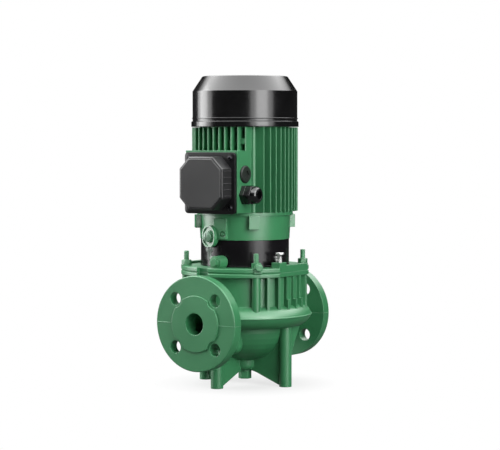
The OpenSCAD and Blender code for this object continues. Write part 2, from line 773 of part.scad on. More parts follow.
module pump_shaft() color(steel) difference() {
    union() {
        translate([0, 0, chamber_z0 - 12]) cylinder(r = shaft_nut_r, h = 12);
        translate([0, 0, chamber_z0 - 2]) cylinder(d = pump_shaft_d, h = socket_z0 - chamber_z0 + 3);
        translate([0, 0, socket_z0]) cylinder(d1 = socket_d - 3, d2 = socket_d, h = 2);
        translate([0, 0, socket_z0 + 2]) cylinder(d = socket_d, h = socket_z1 - socket_z0 - 2);
    }
    translate([0, 0, motor_z - motor_end_l - 1]) cylinder(d = motor_end_d + 2 * seat_gap, h = 60);
    translate([0, -key_w / 2, motor_z - motor_end_l - 1]) cube([motor_end_d / 2 + 3.1, key_w, 60]);
    translate([pump_shaft_d / 2 - 2 - seat_gap, -key_w / 4, chamber_z0 + 1 - seat_gap])
        cube([5, key_w / 2, key_l - 4 + 2 * seat_gap]);
    for (a = [90, 210]) translate([0, 0, grub_z]) rotate([0, 90, a]) cylinder(d = grub_d, h = socket_d);
}

module coupling_key() color(steel)
    translate([motor_end_d / 2 - 3.4, -key_w / 2 + seat_gap, motor_z - motor_end_l + 1])
        cube([6.4, key_w - 2 * seat_gap, motor_end_l - 10]);

module coupling_screws() color(iron) for (a = [90, 210])
    translate([0, 0, grub_z]) rotate([0, 90, a]) translate([0, 0, motor_end_d / 2 + 0.1]) difference() {
        cylinder(d = grub_d - 2 * seat_gap, h = 7);
        translate([0, 0, 4]) hex(2.5, 4);
    }

module seal_seat() color(ceramic) translate([0, 0, seat_z])
    tube(seal_r + 5 - seat_gap, shaft_hole_r - 0.5, seat_top - seat_z);

module seal_ring() color(iron) translate([0, 0, seat_z - ring_seal_h])
    tube(seal_r, pump_shaft_d / 2 + seat_gap, ring_seal_h - 0.02);

module seal_bellows() color(rubber) translate([0, 0, seal_z0]) rotate_extrude() polygon([
    [pump_shaft_d / 2 + seat_gap, 0], [seal_r + 1.5, 0], [seal_r + 1.5, 2.5], [seal_r - 2, 3.6],
    [seal_r, 5.2], [seal_r - 1.5, 6.8], [seal_r, 9], [pump_shaft_d / 2 + seat_gap, 9]]);

// A wire that climbs in turns, swept as one polyhedron
module helix(r, wire, h, turns) {
    ring = 6;
    steps = 16 * turns;
    points = [for (i = [0:steps], j = [0:ring - 1])
        let (a = 22.5 * i, b = 360 * j / ring, rr = r + wire / 2 * cos(b))
        [rr * cos(a), rr * sin(a), h * i / steps + wire / 2 * sin(b)]];
    sides = [for (i = [0:steps - 1], j = [0:ring - 1]) let (k = (j + 1) % ring)
        [i * ring + j, (i + 1) * ring + j, (i + 1) * ring + k, i * ring + k]];
    ends = [[for (j = [0:ring - 1]) j], [for (j = [ring - 1:-1:0]) steps * ring + j]];
    polyhedron(points = points, faces = concat(sides, ends));
}

module seal_spring() color(steel) translate([0, 0, hub_z1 + sleeve_h + spring_wire / 2 + 0.1])
    helix((pump_shaft_d + spring_wire) / 2 + 0.4, spring_wire, spring_h - spring_wire - 0.2, spring_turns);

// Plate with half round ends, longer along X
module oval(w, l, h) {
    for (x = [-1, 1]) translate([x * (l - w) / 2, 0, 0]) cylinder(d = w, h = h);
    translate([(w - l) / 2, -w / 2, 0]) cube([l - w, w, h]);
}

module lantern_body() {
    translate([0, 0, cover_z]) cylinder(r = foot_ring_r, h = 8);
    for (i = [0:3]) rotate([0, 0, guard_screw_a + 90 * i])
        translate([lantern_bore_r, -8, cover_z + 2]) cube([foot_ring_r - lantern_bore_r, 16, guard_h]);
    translate([0, 0, ring_z]) cylinder(r1 = ring_r0, r2 = ring_r1, h = ring_h);
    for (i = [0:3]) rotate([0, 0, 45 + 90 * i])
        translate([ring_r0 - 8, -ring_lug_w / 2, motor_z - ring_lug_h])
            cube([ring_lug_r - ring_r0 + 8, ring_lug_w, ring_lug_h]);
    translate([-ring_r1 - 1.5, -14, ring_z + 2]) cube([20, 22, ring_h - 6]);
    difference() {
        polar(bleed_a, ring_r1 - 12, bleed_z) rotate([0, 90, 0]) {
            difference() {
                oval(bleed_w, bleed_h, 17);
                translate([0, 0, 15]) oval(bleed_w - 5, bleed_h - 5, 3);
            }
            cylinder(d = bleed_screw_d + 3, h = 17.5);
        }
        translate([0, 0, ring_z - 40]) cylinder(r = guard_r + 1, h = 40);
    }
}

module lantern() color(green) difference() {
    lantern_body();
    translate([0, 0, cover_z - 1]) cylinder(r = cover_spigot_r + seat_gap, h = 20);
    translate([0, 0, cover_z + 7]) cylinder(r = lantern_bore_r, h = guard_h - 4);
    translate([0, 0, ring_z - 6]) cylinder(r = ring_r0 - ring_wall, h = ring_h - ring_plate_t + 6);
    translate([0, 0, ring_z]) cylinder(r = spigot_r + seat_gap, h = ring_h + 1);
    translate([-ring_r1 - 2, -8, bleed_z + 4]) rotate([0, 90, 0]) tube(4.5, 2.5, 2.5);
    four(lantern_screw_r, cover_z - 1, lantern_screw_a) cylinder(d = lantern_screw_d + screw_gap, h = 20);
    four(motor_screw_r, motor_z - ring_plate_t - 1) cylinder(d = motor_screw_d + screw_gap / 4, h = 20);
    bleed_place() translate([0, 0, -9]) cylinder(d = 8 + 2 * seat_gap, h = 9.5);
    bleed_place() translate([0, 0, -0.5]) cylinder(d = bleed_screw_d + 0.4, h = 9);
    translate([-vent_pipe_x, vent_pipe_y, ring_z - 14]) cylinder(d = vent_pipe_d, h = 6);
    for (i = [0, 1]) polar(guard_screw_a + 180 * i, foot_ring_r - 9, guard_screw_z) rotate([0, 90, 0])
        cylinder(d = guard_screw_d + 4 * seat_gap, h = 20);
}

module lantern_screws() color(steel) four(lantern_screw_r, cover_z + 8, lantern_screw_a)
    cap_screw(lantern_screw_d, 16, 8, 13);

module motor_screws() color(steel) four(motor_screw_r, motor_z - ring_plate_t) rotate([180, 0, 0])
    cap_screw(motor_screw_d, ring_plate_t + 6, motor_screw_d, 10);

// Half of the coupling guard, from one split line to the other
module guard_half(a) {
    low = cover_z + 0.2;
    rotate([0, 0, a + 0.3]) translate([0, 0, low]) difference() {
        rotate_extrude(angle = 179.4, $fn = 120) {
            translate([guard_r - guard_t, 0]) square([guard_t, guard_h - 0.4]);
            translate([guard_r - guard_t, 0]) square([guard_t + 0.5, 2]);
        }
        rotate([0, 0, 7.7]) translate([guard_r - 5, 0, guard_screw_z - low]) rotate([0, 90, 0])
            cylinder(d = guard_screw_d + screw_gap / 4, h = 10);
    }
}

module guard_front() color(black) guard_half(guard_a - 180);

module guard_rear() color(black) guard_half(guard_a);

module guard_screws() color(steel) for (i = [0, 1])
    polar(guard_screw_a + 180 * i, guard_r, guard_screw_z) rotate([0, 90, 0])
        cap_screw(guard_screw_d, 9, 2.6, 2 * guard_screw_d);

module fins(side) {
    count = floor((fin_reach - 25) / fin_pitch);
    rotate([0, 0, side]) for (i = [-count:count - 1]) {
        x = (i + 0.5) * fin_pitch;
        tip = fin_end(x);
        translate([0, 0, frame_z + fin_inset]) linear_extrude(frame_h - 2 * fin_inset)
            polygon([[x - fin_root_t / 2, 40], [x + fin_root_t / 2, 40], [x + fin_tip_t / 2, tip - 0.6],
                     [x + fin_tip_t / 2 - 0.5, tip], [x - fin_tip_t / 2 + 0.5, tip],
                     [x - fin_tip_t / 2, tip - 0.6]]);
    }
}

module box_corners() {
    p = cover_screw_pitch / 2;
    for (y = [-p, p], z = [-p, p]) translate([-neck_x, y, box_z + z]) rotate([0, 90, 0]) children();
}

// Fins and terminal neck, hollowed where the terminals sit
module fins_and_neck() difference() {
    union() {
        for (side = [0, 90, 180, 270]) fins(side);
        translate([-neck_x, -neck_half, frame_z + 0.4])
            cube([neck_x - 44, 2 * neck_half, box_w + 1.1]);
        translate([-65, -44, frame_z + 101]) cube([10, 8, 8]);
    }
    translate([-neck_x - 1, -neck_half + neck_wall, frame_z + neck_wall])
        cube([neck_x - 50, 2 * (neck_half - neck_wall), box_w - 2 * neck_wall]);
    for (y = [-neck_half - 4, neck_half]) translate([-neck_x, y, frame_z - 1])
        cube([neck_x - 50, 4, box_w + 2.5]);
    for (i = [0, 1]) translate([-gland_x, -neck_half - 1, entry_z + entry_pitch * i])
        rotate([-90, 0, 0]) cylinder(d = entry_d, h = neck_wall + 2);
}

module motor_frame() color(green) difference() {
    union() {
        translate([0, 0, frame_z]) cylinder(r = barrel_r, h = frame_h);
        four(tie_r, frame_z + fin_inset / 2) cylinder(d = tie_d + 3.4, h = frame_h - fin_inset);
        fins_and_neck();
        box_corners() cylinder(r = 5.5, h = 20);
        for (y = [-15, 15]) translate([-board_seat_x, y, box_z]) rotate([0, 90, 0]) cylinder(r = 6, h = 8);
    }
    translate([0, 0, frame_z - 1]) cylinder(r = stator_r, h = frame_h + 2);
    four(tie_r, frame_z - 1) cylinder(d = tie_d + 0.6, h = frame_h + 2);
    box_corners() translate([0, 0, -1]) cylinder(d = box_screw_d, h = 15);
}

module bearing_seat(z) {
    translate([0, 0, z]) cylinder(d = bearing_od + 2 * seat_gap, h = bearing_w + 20);
}

module drive_end_shield() color(green) difference() {
    union() {
        translate([0, 0, motor_z]) cylinder(r = ring_r1 + 3, h = shield_t);
        translate([0, 0, motor_z - 4]) cylinder(r = spigot_r, h = 5);
        translate([0, 0, motor_z]) cylinder(r = stator_r - seat_gap, h = shield_t + 6);
        translate([0, 0, motor_z]) cylinder(d = bearing_od + 14, h = bearing_w + 5);
    }
    bearing_seat(lower_bearing_z);
    translate([0, 0, motor_z - 10]) cylinder(r = 12, h = 40);
    difference() {
        translate([0, 0, frame_z + 1]) cylinder(r = stator_r - 5, h = 20);
        cylinder(d = bearing_od + 14, h = 900);
    }
    four(motor_screw_r, motor_z - 1) cylinder(d = motor_screw_d + 2 * seat_gap, h = 7.5);
    four(tie_r, motor_z - 1) cylinder(d = tie_d - 0.8, h = 20);
}

module rear_end_shield() color(green) difference() {
    union() {
        translate([0, 0, frame_top]) cylinder(r = cowl_rim_r - cowl_wall - seat_gap, h = rear_plate_t);
        translate([0, 0, frame_top - 6]) cylinder(r = stator_r - seat_gap, h = 7);
        translate([0, 0, upper_bearing_z - 2]) cylinder(d = bearing_od + 12, h = bearing_w + 2);
    }
    difference() {
        translate([0, 0, frame_top - 7]) cylinder(r = stator_r - 5, h = 7.5);
        cylinder(d = bearing_od + 12, h = 900);
    }
    translate([0, 0, upper_bearing_z - 20]) cylinder(d = bearing_od + 2 * seat_gap, h = bearing_w + 20);
    cylinder(r = 9, h = 900);
    four(tie_r, frame_top - 1) cylinder(d = tie_d + 0.6, h = 20);
}

module tie_bolts() color(steel) four(tie_r) {
    translate([0, 0, frame_z - 3.5]) cylinder(d = tie_d - 0.9, h = 3.6);
    translate([0, 0, frame_z]) cylinder(d = tie_d, h = frame_h + rear_plate_t);
    translate([0, 0, frame_top + rear_plate_t]) hex(8, 4);
}

module stator_core() color(iron) translate([0, 0, stator_z])
    tube(stator_r - seat_gap, rotor_r + air_gap, stator_h);

module winding_heads() color(copper) for (z = [stator_z - winding_h, stator_z + stator_h])
    translate([0, 0, z]) rotate_extrude() translate([rotor_r + 5, 0]) {
        square([17, winding_h]);
        translate([0, winding_h / 4]) square([18.5, winding_h / 2]);
    }

module motor_shaft() color(steel) difference() {
    low = motor_z - motor_end_l + 1;
    shaft_top = fan_z + fan_hub_h + 4;
    seat_d = bearing_bore - 2 * seat_gap;
    union() {
        translate([0, 0, low]) cylinder(d1 = motor_end_d - 2, d2 = motor_end_d, h = 1);
        translate([0, 0, low + 1]) cylinder(d = motor_end_d, h = motor_end_l + 3);
        translate([0, 0, lower_bearing_z - 0.01]) cylinder(d = seat_d, h = bearing_w + 1);
        translate([0, 0, lower_bearing_z + bearing_w])
            cylinder(r = core_shaft_r - seat_gap, h = upper_bearing_z - lower_bearing_z - bearing_w);
        translate([0, 0, upper_bearing_z - 1]) cylinder(d = seat_d, h = bearing_w + 1);
        translate([0, 0, upper_bearing_z]) cylinder(d = fan_seat_d, h = shaft_top - upper_bearing_z);
    }
    translate([motor_end_d / 2 - 3.5, -key_w / 2, low - seat_gap])
        cube([10, key_w, motor_end_l - 10 + 2 * seat_gap]);
    translate([0, 0, fan_z + fan_hub_h]) tube(fan_ring_r, fan_seat_d / 2 - 0.7, 1.2);
}

module rotor_core() color(iron) translate([0, 0, stator_z]) difference() {
    union() {
        cylinder(r = rotor_r, h = stator_h);
        translate([0, 0, -6]) tube(rotor_r - 1, 20, stator_h + 12);
    }
    translate([0, 0, -1]) cylinder(r = core_shaft_r, h = stator_h + 2);
}

module ball_groove() {
    rotate_extrude() translate([pitch_r, bearing_w / 2]) circle(d = ball_d + 2 * ball_gap);
}

module bearing_outer() difference() {
    tube(bearing_od / 2, pitch_r + ball_d * 0.33, bearing_w);
    ball_groove();
}

module bearing_inner() difference() {
    tube(pitch_r - ball_d * 0.33, bearing_bore / 2, bearing_w);
    ball_groove();
}

// Balls with the flat cage that spaces them, cut clear of each ball
module ball_set() {
    for (i = [0:ball_count - 1]) polar(360 * i / ball_count, pitch_r, bearing_w / 2) sphere(d = ball_d);
    difference() {
        translate([0, 0, bearing_w / 2 - 1.2]) tube(pitch_r + 1.6, pitch_r - 1.6, 2.4);
        for (i = [0:ball_count - 1]) polar(360 * i / ball_count, pitch_r, bearing_w / 2)
            sphere(d = ball_d + 2 * ball_gap);
    }
}

module lower_bearing_outer() color(steel) translate([0, 0, lower_bearing_z]) bearing_outer();

module lower_bearing_inner() color(steel) translate([0, 0, lower_bearing_z]) bearing_inner();

module lower_balls() color(steel) translate([0, 0, lower_bearing_z]) ball_set();

module upper_bearing_outer() color(steel) translate([0, 0, upper_bearing_z]) bearing_outer();

module upper_bearing_inner() color(steel) translate([0, 0, upper_bearing_z]) bearing_inner();

module upper_balls() color(steel) translate([0, 0, upper_bearing_z]) ball_set();

module fan() color(black) difference() {
    union() {
        translate([0, 0, fan_z]) cylinder(r = fan_seat_d, h = fan_hub_h);
        translate([0, 0, fan_z]) cylinder(r = fan_r - 12, h = 3);
        for (i = [0:blade_count - 1]) rotate([0, 0, 360 * i / blade_count])
            translate([0, 1.1, fan_z + 1]) rotate([90, 0, 0]) linear_extrude(2.2)
                polygon([[12, 0], [fan_r - 4, 0], [fan_r, blade_h * 0.5], [fan_r - 2, blade_h],
                         [26, blade_h], [14, 14]]);
    }
    translate([0, 0, fan_z - 1]) cylinder(d = fan_seat_d + 2 * seat_gap, h = 40);
}

module fan_ring() color(steel) translate([0, 0, fan_z + fan_hub_h + seat_gap]) difference() {
    tube(fan_ring_r, fan_seat_d / 2 - 0.6, 1.1);
    translate([0, -2, -1]) cube([20, 4, 4]);
}

// Wall of the fan cover in section, from the rim to the top edge
module cowl_section() {
    top = cowl_wall_h + cowl_cone_h;
    difference() {
        polygon(concat(
            [[0, 0], [cowl_rim_r, 0], [cowl_rim_r, cowl_rim_h - 1], [cowl_rim_r - 1, cowl_rim_h],
             [cowl_r, cowl_rim_h], [cowl_r, cowl_rim_h + 1.4], [cowl_r + 0.9, cowl_rim_h + 2],
             [cowl_r + 0.9, cowl_rim_h + 3.2], [cowl_r, cowl_rim_h + 3.8], [cowl_r, cowl_wall_h]],
            arc_points(cowl_top_r - 3, top - 3, 3, 30, 90, 4),
            [[0, top]]));
        polygon([[-1, -1], [cowl_rim_r - cowl_wall, -1], [cowl_rim_r - cowl_wall, cowl_rim_h - cowl_wall],
                 [cowl_r - cowl_wall, cowl_rim_h], [cowl_r - cowl_wall, cowl_wall_h - 0.6],
                 [cowl_top_r - cowl_wall - 1, top - cowl_wall - 1], [cowl_top_r - 4, top - cowl_wall - 0.4],
                 [-1, top - cowl_wall - 0.4]]);
    }
}

module grille_slots() {
    band = (cowl_top_r - 4 - grille_hub_r) / grille_rings;
    for (i = [0:grille_rings - 1]) difference() {
        circle(r = grille_hub_r + band * (i + 1) - grille_rib);
        circle(r = grille_hub_r + band * i);
        for (j = [0:grille_spokes - 1]) rotate(360 * j / grille_spokes)
            translate([0, -grille_rib / 2]) square([90, grille_rib]);
    }
}

module fan_cover() color(black) translate([0, 0, frame_top]) difference() {
    rotate_extrude($fn = 120) cowl_section();
    translate([0, 0, cowl_wall_h + cowl_cone_h - 8]) linear_extrude(12) grille_slots();
}

// Lays a plate drawn in plan upright, facing -X, with its back at the distance given
module facing_out(x) {
    translate([-x, 0, box_z]) rotate([0, -90, 0]) rotate([0, 0, 180]) children();
}

module rounded_square(w, r) {
    square([w - 2 * r, w], center = true);
    square([w, w - 2 * r], center = true);
    for (x = [-1, 1], y = [-1, 1]) translate([x * (w / 2 - r), y * (w / 2 - r)]) circle(r = r);
}

module octagon(w, cut) {
    h = w / 2;
    polygon([[h, h - cut], [h - cut, h], [cut - h, h], [-h, h - cut],
             [-h, cut - h], [cut - h, -h], [h - cut, -h], [h, cut - h]]);
}

module cover_screw_places() {
    p = cover_screw_pitch / 2;
    for (x = [-p, p], y = [-p, p]) translate([x, y, 0]) children();
}

module terminal_base() color(black) facing_out(neck_x) difference() {
    linear_extrude(box_plate_t) difference() {
        rounded_square(box_w, 6);
        square(box_w - 4 * neck_wall, center = true);
    }
    cover_screw_places() translate([0, 0, -1]) cylinder(d = box_screw_d + screw_gap / 2, h = 20);
}

module terminal_cover() color(black) facing_out(box_x) difference() {
    union() {
        linear_extrude(box_plate_t) rounded_square(box_w, 6);
        linear_extrude(cover_front_z - 2) octagon(cover_w, cover_cut);
        hull() {
            translate([0, 0, cover_front_z - 3]) linear_extrude(0.5) octagon(cover_w, cover_cut);
            translate([0, 0, cover_front_z - 1]) linear_extrude(0.5) octagon(cover_w - 3, cover_cut);
        }
        translate([0, 0, cover_front_z - 1]) linear_extrude(1) octagon(cover_w - 8, cover_cut);
        for (i = [-2:2], s = [-1, 1]) translate([i * lid_rib_pitch - 0.7, s * cover_w / 2 - 0.9, 0])
            cube([1.4, 1.8, cover_front_z - 4]);
    }
    translate([0, 0, -1]) linear_extrude(cover_front_z - cover_wall)
        octagon(cover_w - 2 * cover_wall, cover_cut - 1);
    cover_screw_places() translate([0, 0, -1]) cylinder(d = box_screw_d + screw_gap / 2, h = 20);
    cover_screw_places() translate([0, 0, box_plate_t - 0.8]) cylinder(d = 8.6, h = 20);
}

module terminal_cover_screws() color(steel) facing_out(box_x + box_plate_t - 0.8)
    cover_screw_places() difference() {
        union() {
            translate([0, 0, -15]) cylinder(d = box_screw_d - 2 * seat_gap, h = 15.01);
            cylinder(d = 7.6, h = 2.6);
        }
        for (a = [0, 90]) rotate([0, 0, a]) translate([-2.4, -0.5, 1.2]) cube([4.8, 1, 3]);
    }

module terminal_board() color(black) difference() {
    union() {
        translate([-board_front_x, -board_half, box_z - board_half / 2])
            cube([7, 2 * board_half, board_half]);
        for (y = [-15, 15]) translate([6 - board_front_x, y, box_z]) rotate([0, 90, 0])
            cylinder(r = 5, h = board_front_x - 6 - board_seat_x);
    }
    terminal_places() translate([0, 0, -4]) cylinder(d = 4, h = 9);
}

module terminal_places() {
    for (y = [-18, 0, 18], z = [-8, 8]) translate([4 - board_front_x, y, box_z + z])
        rotate([0, -90, 0]) children();
}

module terminal_studs() color(brass) terminal_places() {
    cylinder(d = 4 - 2 * seat_gap, h = 14);
    translate([0, 0, 4]) hex(7, 3);
}

// Lays a gland piece made along +Z out along -Y, at the height given
module entry(z, out = 0) {
    translate([-gland_x, -neck_half - out, z]) rotate([90, 0, 0]) children();
}

module gland_body() color(black) entry(entry_z) difference() {
    union() {
        translate([0, 0, -neck_wall - 5]) cylinder(d = entry_d - 2 * seat_gap, h = neck_wall + 6);
        hex(gland_af, 7);
        translate([0, 0, 6]) cylinder(d = gland_af - 7, h = 9);
    }
    translate([0, 0, -20]) cylinder(d = gland_bore_d + 1.5, h = 60);
    translate([0, 0, 4]) cylinder(d = gland_af - 11, h = 60);
}

module gland_seal() color(rubber) entry(entry_z, 4)
    tube((gland_af - 11) / 2 - seat_gap, gland_bore_d / 2, 12);

module gland_nut() color(black) entry(entry_z, 7.2) difference() {
    union() {
        hex(gland_af - 1, 10);
        rotate_extrude() polygon(concat([[0, 0], [gland_af / 2 - 0.6, 0]],
            arc_points(gland_af / 2 - 7.6, 12, 7, 0, 90, 6), [[0, 19]]));
    }
    translate([0, 0, -1]) cylinder(d = gland_af - 7 + 2 * seat_gap, h = 8.8 + 1);
    translate([0, 0, -1]) cylinder(d = gland_bore_d + 1, h = 60);
}

module blanking_plug() color(black) entry(entry_z + entry_pitch) difference() {
    union() {
        translate([0, 0, -neck_wall - 3]) cylinder(d = entry_d - 2 * seat_gap, h = neck_wall + 4);
        cylinder(d = plug_d, h = 2);
        translate([0, 0, 2]) cylinder(d1 = plug_d, d2 = plug_d - 3, h = 1.5);
    }
    translate([0, 0, 1.5]) hex(10, 5);
}

volute_casing();
drain_plug();
wear_ring();
casing_cover();
cover_o_ring();
cover_studs();
cover_washers();
cover_nuts();
jacking_screws();
edge_plug();
vent_plug();
vent_pipe();
bleed_screw();
impeller();
impeller_key();
impeller_nut();
shaft_sleeve();
pump_shaft();
coupling_key();
coupling_screws();
seal_seat();
seal_ring();
seal_bellows();
seal_spring();
lantern();
lantern_screws();
motor_screws();
guard_front();
guard_rear();
guard_screws();
motor_frame();
drive_end_shield();
rear_end_shield();
tie_bolts();
stator_core();
winding_heads();
motor_shaft();
rotor_core();
lower_bearing_outer();
lower_bearing_inner();
lower_balls();
upper_bearing_outer();
upper_bearing_inner();
upper_balls();
fan();
fan_ring();
fan_cover();
terminal_base();
terminal_cover();
terminal_cover_screws();
terminal_board();
terminal_studs();
gland_body();
gland_seal();
gland_nut();
blanking_plug();
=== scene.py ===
import json
import math
import bpy
import bmesh
from mathutils import Matrix, Vector


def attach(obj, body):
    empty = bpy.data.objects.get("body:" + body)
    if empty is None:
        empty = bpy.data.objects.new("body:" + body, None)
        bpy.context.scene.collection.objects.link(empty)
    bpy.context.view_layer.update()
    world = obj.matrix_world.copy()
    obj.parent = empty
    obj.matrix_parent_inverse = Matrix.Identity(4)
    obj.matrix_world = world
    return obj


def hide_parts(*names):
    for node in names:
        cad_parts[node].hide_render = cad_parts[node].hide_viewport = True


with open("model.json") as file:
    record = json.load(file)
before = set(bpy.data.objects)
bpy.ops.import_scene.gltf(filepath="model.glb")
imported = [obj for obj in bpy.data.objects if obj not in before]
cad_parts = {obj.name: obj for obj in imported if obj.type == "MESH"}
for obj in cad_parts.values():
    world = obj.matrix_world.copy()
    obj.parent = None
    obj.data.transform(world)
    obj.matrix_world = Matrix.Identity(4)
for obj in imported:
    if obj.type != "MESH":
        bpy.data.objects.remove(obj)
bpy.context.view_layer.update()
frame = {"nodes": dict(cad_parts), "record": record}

nodes = frame["nodes"]
print("frame loaded:", len(nodes), "nodes")

# Camera at the photograph's viewing angle

cameraView = {
    "place": (-2.1606, -1.4818, 0.3713),   # metres, in the part's frame
    "heading": (0.8247, 0.5655),           # viewing direction on the floor
    "pitchDegrees": 2.9,
    "lens": 125.46,
    "shiftX": 0.0098,
}


def makeCamera(view):
    data = bpy.data.cameras.new("photoCamera")
    data.sensor_width = 36
    data.lens = view["lens"]
    data.shift_x = view["shiftX"]
    data.clip_start, data.clip_end = 0.05, 40
    cam = bpy.data.objects.new("photoCamera", data)
    bpy.context.scene.collection.objects.link(cam)
    pitch = math.radians(view["pitchDegrees"])
    hx, hy = view["heading"]
    aim = Vector((hx * math.cos(pitch), hy * math.cos(pitch), -math.sin(pitch)))
    cam.location = view["place"]
    cam.rotation_euler = aim.to_track_quat("-Z", "Y").to_euler()
    bpy.context.scene.camera = cam


makeCamera(cameraView)


# Helpers for shader trees

def newTree(name, inputs, outputs, kind="ShaderNodeTree"):
    tree = bpy.data.node_groups.new(name, kind)
    for label, sort, value in inputs:
        s = tree.interface.new_socket(name=label, in_out="INPUT", socket_type=sort)
        if value is not None:
            s.default_value = value
    for label, sort in outputs:
        tree.interface.new_socket(name=label, in_out="OUTPUT", socket_type=sort)
    return tree, tree.nodes.new("NodeGroupInput"), tree.nodes.new("NodeGroupOutput")


def feed(tree, sock, value):
    if value is None:
        return
    if isinstance(value, (int, float)):
        sock.default_value = value
    elif isinstance(value, tuple):
        sock.default_value = (*value, 1.0) if len(sock.default_value) > len(value) else value
    else:
        tree.links.new(value, sock)


def mathNode(tree, op, a, b=None, clamp=False):
    n = tree.nodes.new("ShaderNodeMath")
    n.operation = op
    n.use_clamp = clamp
    feed(tree, n.inputs[0], a)
    feed(tree, n.inputs[1], b)
    return n.outputs[0]


def noiseNode(tree, vector, scale, detail=2.0, rough=0.5):
    n = tree.nodes.new("ShaderNodeTexNoise")
    for key, v in (("Vector", vector), ("Scale", scale), ("Detail", detail), ("Roughness", rough)):
        feed(tree, n.inputs[key], v)
    return n.outputs["Fac"]


def rangeNode(tree, value, lo, hi, toLo=0.0, toHi=1.0):
    n = tree.nodes.new("ShaderNodeMapRange")
    for key, v in (("Value", value), ("From Min", lo), ("From Max", hi), ("To Min", toLo), ("To Max", toHi)):
        feed(tree, n.inputs[key], v)
    return n.outputs["Result"]


def mixColour(tree, factor, a, b):
    n = tree.nodes.new("ShaderNodeMix")
    n.data_type = "RGBA"
    for sock, v in ((n.inputs[0], factor), (n.inputs[6], a), (n.inputs[7], b)):
        feed(tree, sock, v)
    return n.outputs[2]


# Fine casting grain under paint: a height for the bump and a slow change of tone
def makeCastGrain():
    tree, gin, gout = newTree("castGrain",
        [("Vector", "NodeSocketVector", None), ("Grain Size", "NodeSocketFloat", 420.0),
         ("Pits", "NodeSocketFloat", 0.35)],
        [("Height", "NodeSocketFloat"), ("Tone", "NodeSocketFloat")])
    v = gin.outputs["Vector"]
    fine = noiseNode(tree, v, gin.outputs["Grain Size"], 3.0, 0.6)
    broad = noiseNode(tree, v, 38.0, 2.0, 0.5)
    pits = tree.nodes.new("ShaderNodeTexVoronoi")
    pits.inputs["Scale"].default_value = 260.0
    tree.links.new(v, pits.inputs["Vector"])
    pit = mathNode(tree, "MULTIPLY", rangeNode(tree, pits.outputs["Distance"], 0.0, 0.35),
                   gin.outputs["Pits"])
    high = mathNode(tree, "ADD", mathNode(tree, "MULTIPLY", fine, 0.6), pit)
    high = mathNode(tree, "ADD", high, mathNode(tree, "MULTIPLY", broad, 0.8))
    tree.links.new(high, gout.inputs["Height"])
    tree.links.new(noiseNode(tree, v, 9.0, 4.0, 0.55), gout.inputs["Tone"])
    return tree


# Edges as the shader sees them: a rounded normal, and a mask of where the edge runs, along which most
# materials paint a highlight
def makeSoftEdge():
    tree, gin, gout = newTree("softEdge",
        [("Radius", "NodeSocketFloat", 0.0012)],
        [("Normal", "NodeSocketVector"), ("Edge", "NodeSocketFloat")])
    bev = tree.nodes.new("ShaderNodeBevel")
    bev.samples = 6
    tree.links.new(gin.outputs["Radius"], bev.inputs["Radius"])
    geo = tree.nodes.new("ShaderNodeNewGeometry")
    dot = tree.nodes.new("ShaderNodeVectorMath")
    dot.operation = "DOT_PRODUCT"
    tree.links.new(bev.outputs["Normal"], dot.inputs[0])
    tree.links.new(geo.outputs["Normal"], dot.inputs[1])
    tree.links.new(bev.outputs["Normal"], gout.inputs["Normal"])
    tree.links.new(rangeNode(tree, dot.outputs["Value"], 0.995, 0.8), gout.inputs["Edge"])
    return tree


# Dust that settles on faces that look up, broken up by noise
def makeDust():
    tree, gin, gout = newTree("settledDust",
        [("Vector", "NodeSocketVector", None), ("Amount", "NodeSocketFloat", 0.2)],
        [("Mask", "NodeSocketFloat")])
    geo = tree.nodes.new("ShaderNodeNewGeometry")
    sep = tree.nodes.new("ShaderNodeSeparateXYZ")
    tree.links.new(geo.outputs["Normal"], sep.inputs[0])
    up = rangeNode(tree, sep.outputs["Z"], 0.55, 1.0)
    cloud = rangeNode(tree, noiseNode(tree, gin.outputs["Vector"], 70.0, 5.0, 0.65), 0.35, 0.7)
    mask = mathNode(tree, "MULTIPLY", mathNode(tree, "MULTIPLY", up, cloud), gin.outputs["Amount"], True)
    tree.links.new(mask, gout.inputs["Mask"])
    return tree


# Long fine lines of turning or drawing, across the axis that is stretched
def makeToolMarks():
    tree, gin, gout = newTree("toolMarks",
        [("Vector", "NodeSocketVector", None), ("Line Scale", "NodeSocketFloat", 900.0)],
        [("Height", "NodeSocketFloat"), ("Tone", "NodeSocketFloat")])
    mapping = tree.nodes.new("ShaderNodeMapping")
    mapping.inputs["Scale"].default_value = (0.05, 0.05, 1.0)
    tree.links.new(gin.outputs["Vector"], mapping.inputs["Vector"])
    lines = noiseNode(tree, mapping.outputs["Vector"], gin.outputs["Line Scale"], 2.0, 0.6)
    tree.links.new(lines, gout.inputs["Height"])
    tree.links.new(noiseNode(tree, gin.outputs["Vector"], 120.0, 3.0, 0.6), gout.inputs["Tone"])
    return tree


groups = {"grain": makeCastGrain(), "edge": makeSoftEdge(), "dust": makeDust(), "marks": makeToolMarks()}


def placeGroup(tree, key, **values):
    g = tree.nodes.new("ShaderNodeGroup")
    g.node_tree = groups[key]
    for name, v in values.items():
        feed(tree, g.inputs[name.replace("_", " ")], v)
    return g


def startMaterial(name):
    mat = bpy.data.materials.new(name)
    mat.use_nodes = True
    tree = mat.node_tree
    tree.nodes.clear()
    out = tree.nodes.new("ShaderNodeOutputMaterial")
    bsdf = tree.nodes.new("ShaderNodeBsdfPrincipled")
    tree.links.new(bsdf.outputs[0], out.inputs[0])
    coord = tree.nodes.new("ShaderNodeTexCoord").outputs["Object"]
    return mat, tree, bsdf, coord


def bumpInto(tree, height, normal, strength, distance):
    b = tree.nodes.new("ShaderNodeBump")
    b.inputs["Strength"].default_value = strength
    b.inputs["Distance"].default_value = distance
    tree.links.new(height, b.inputs["Height"])
    if normal is not None:
        tree.links.new(normal, b.inputs["Normal"])
    return b.outputs["Normal"]


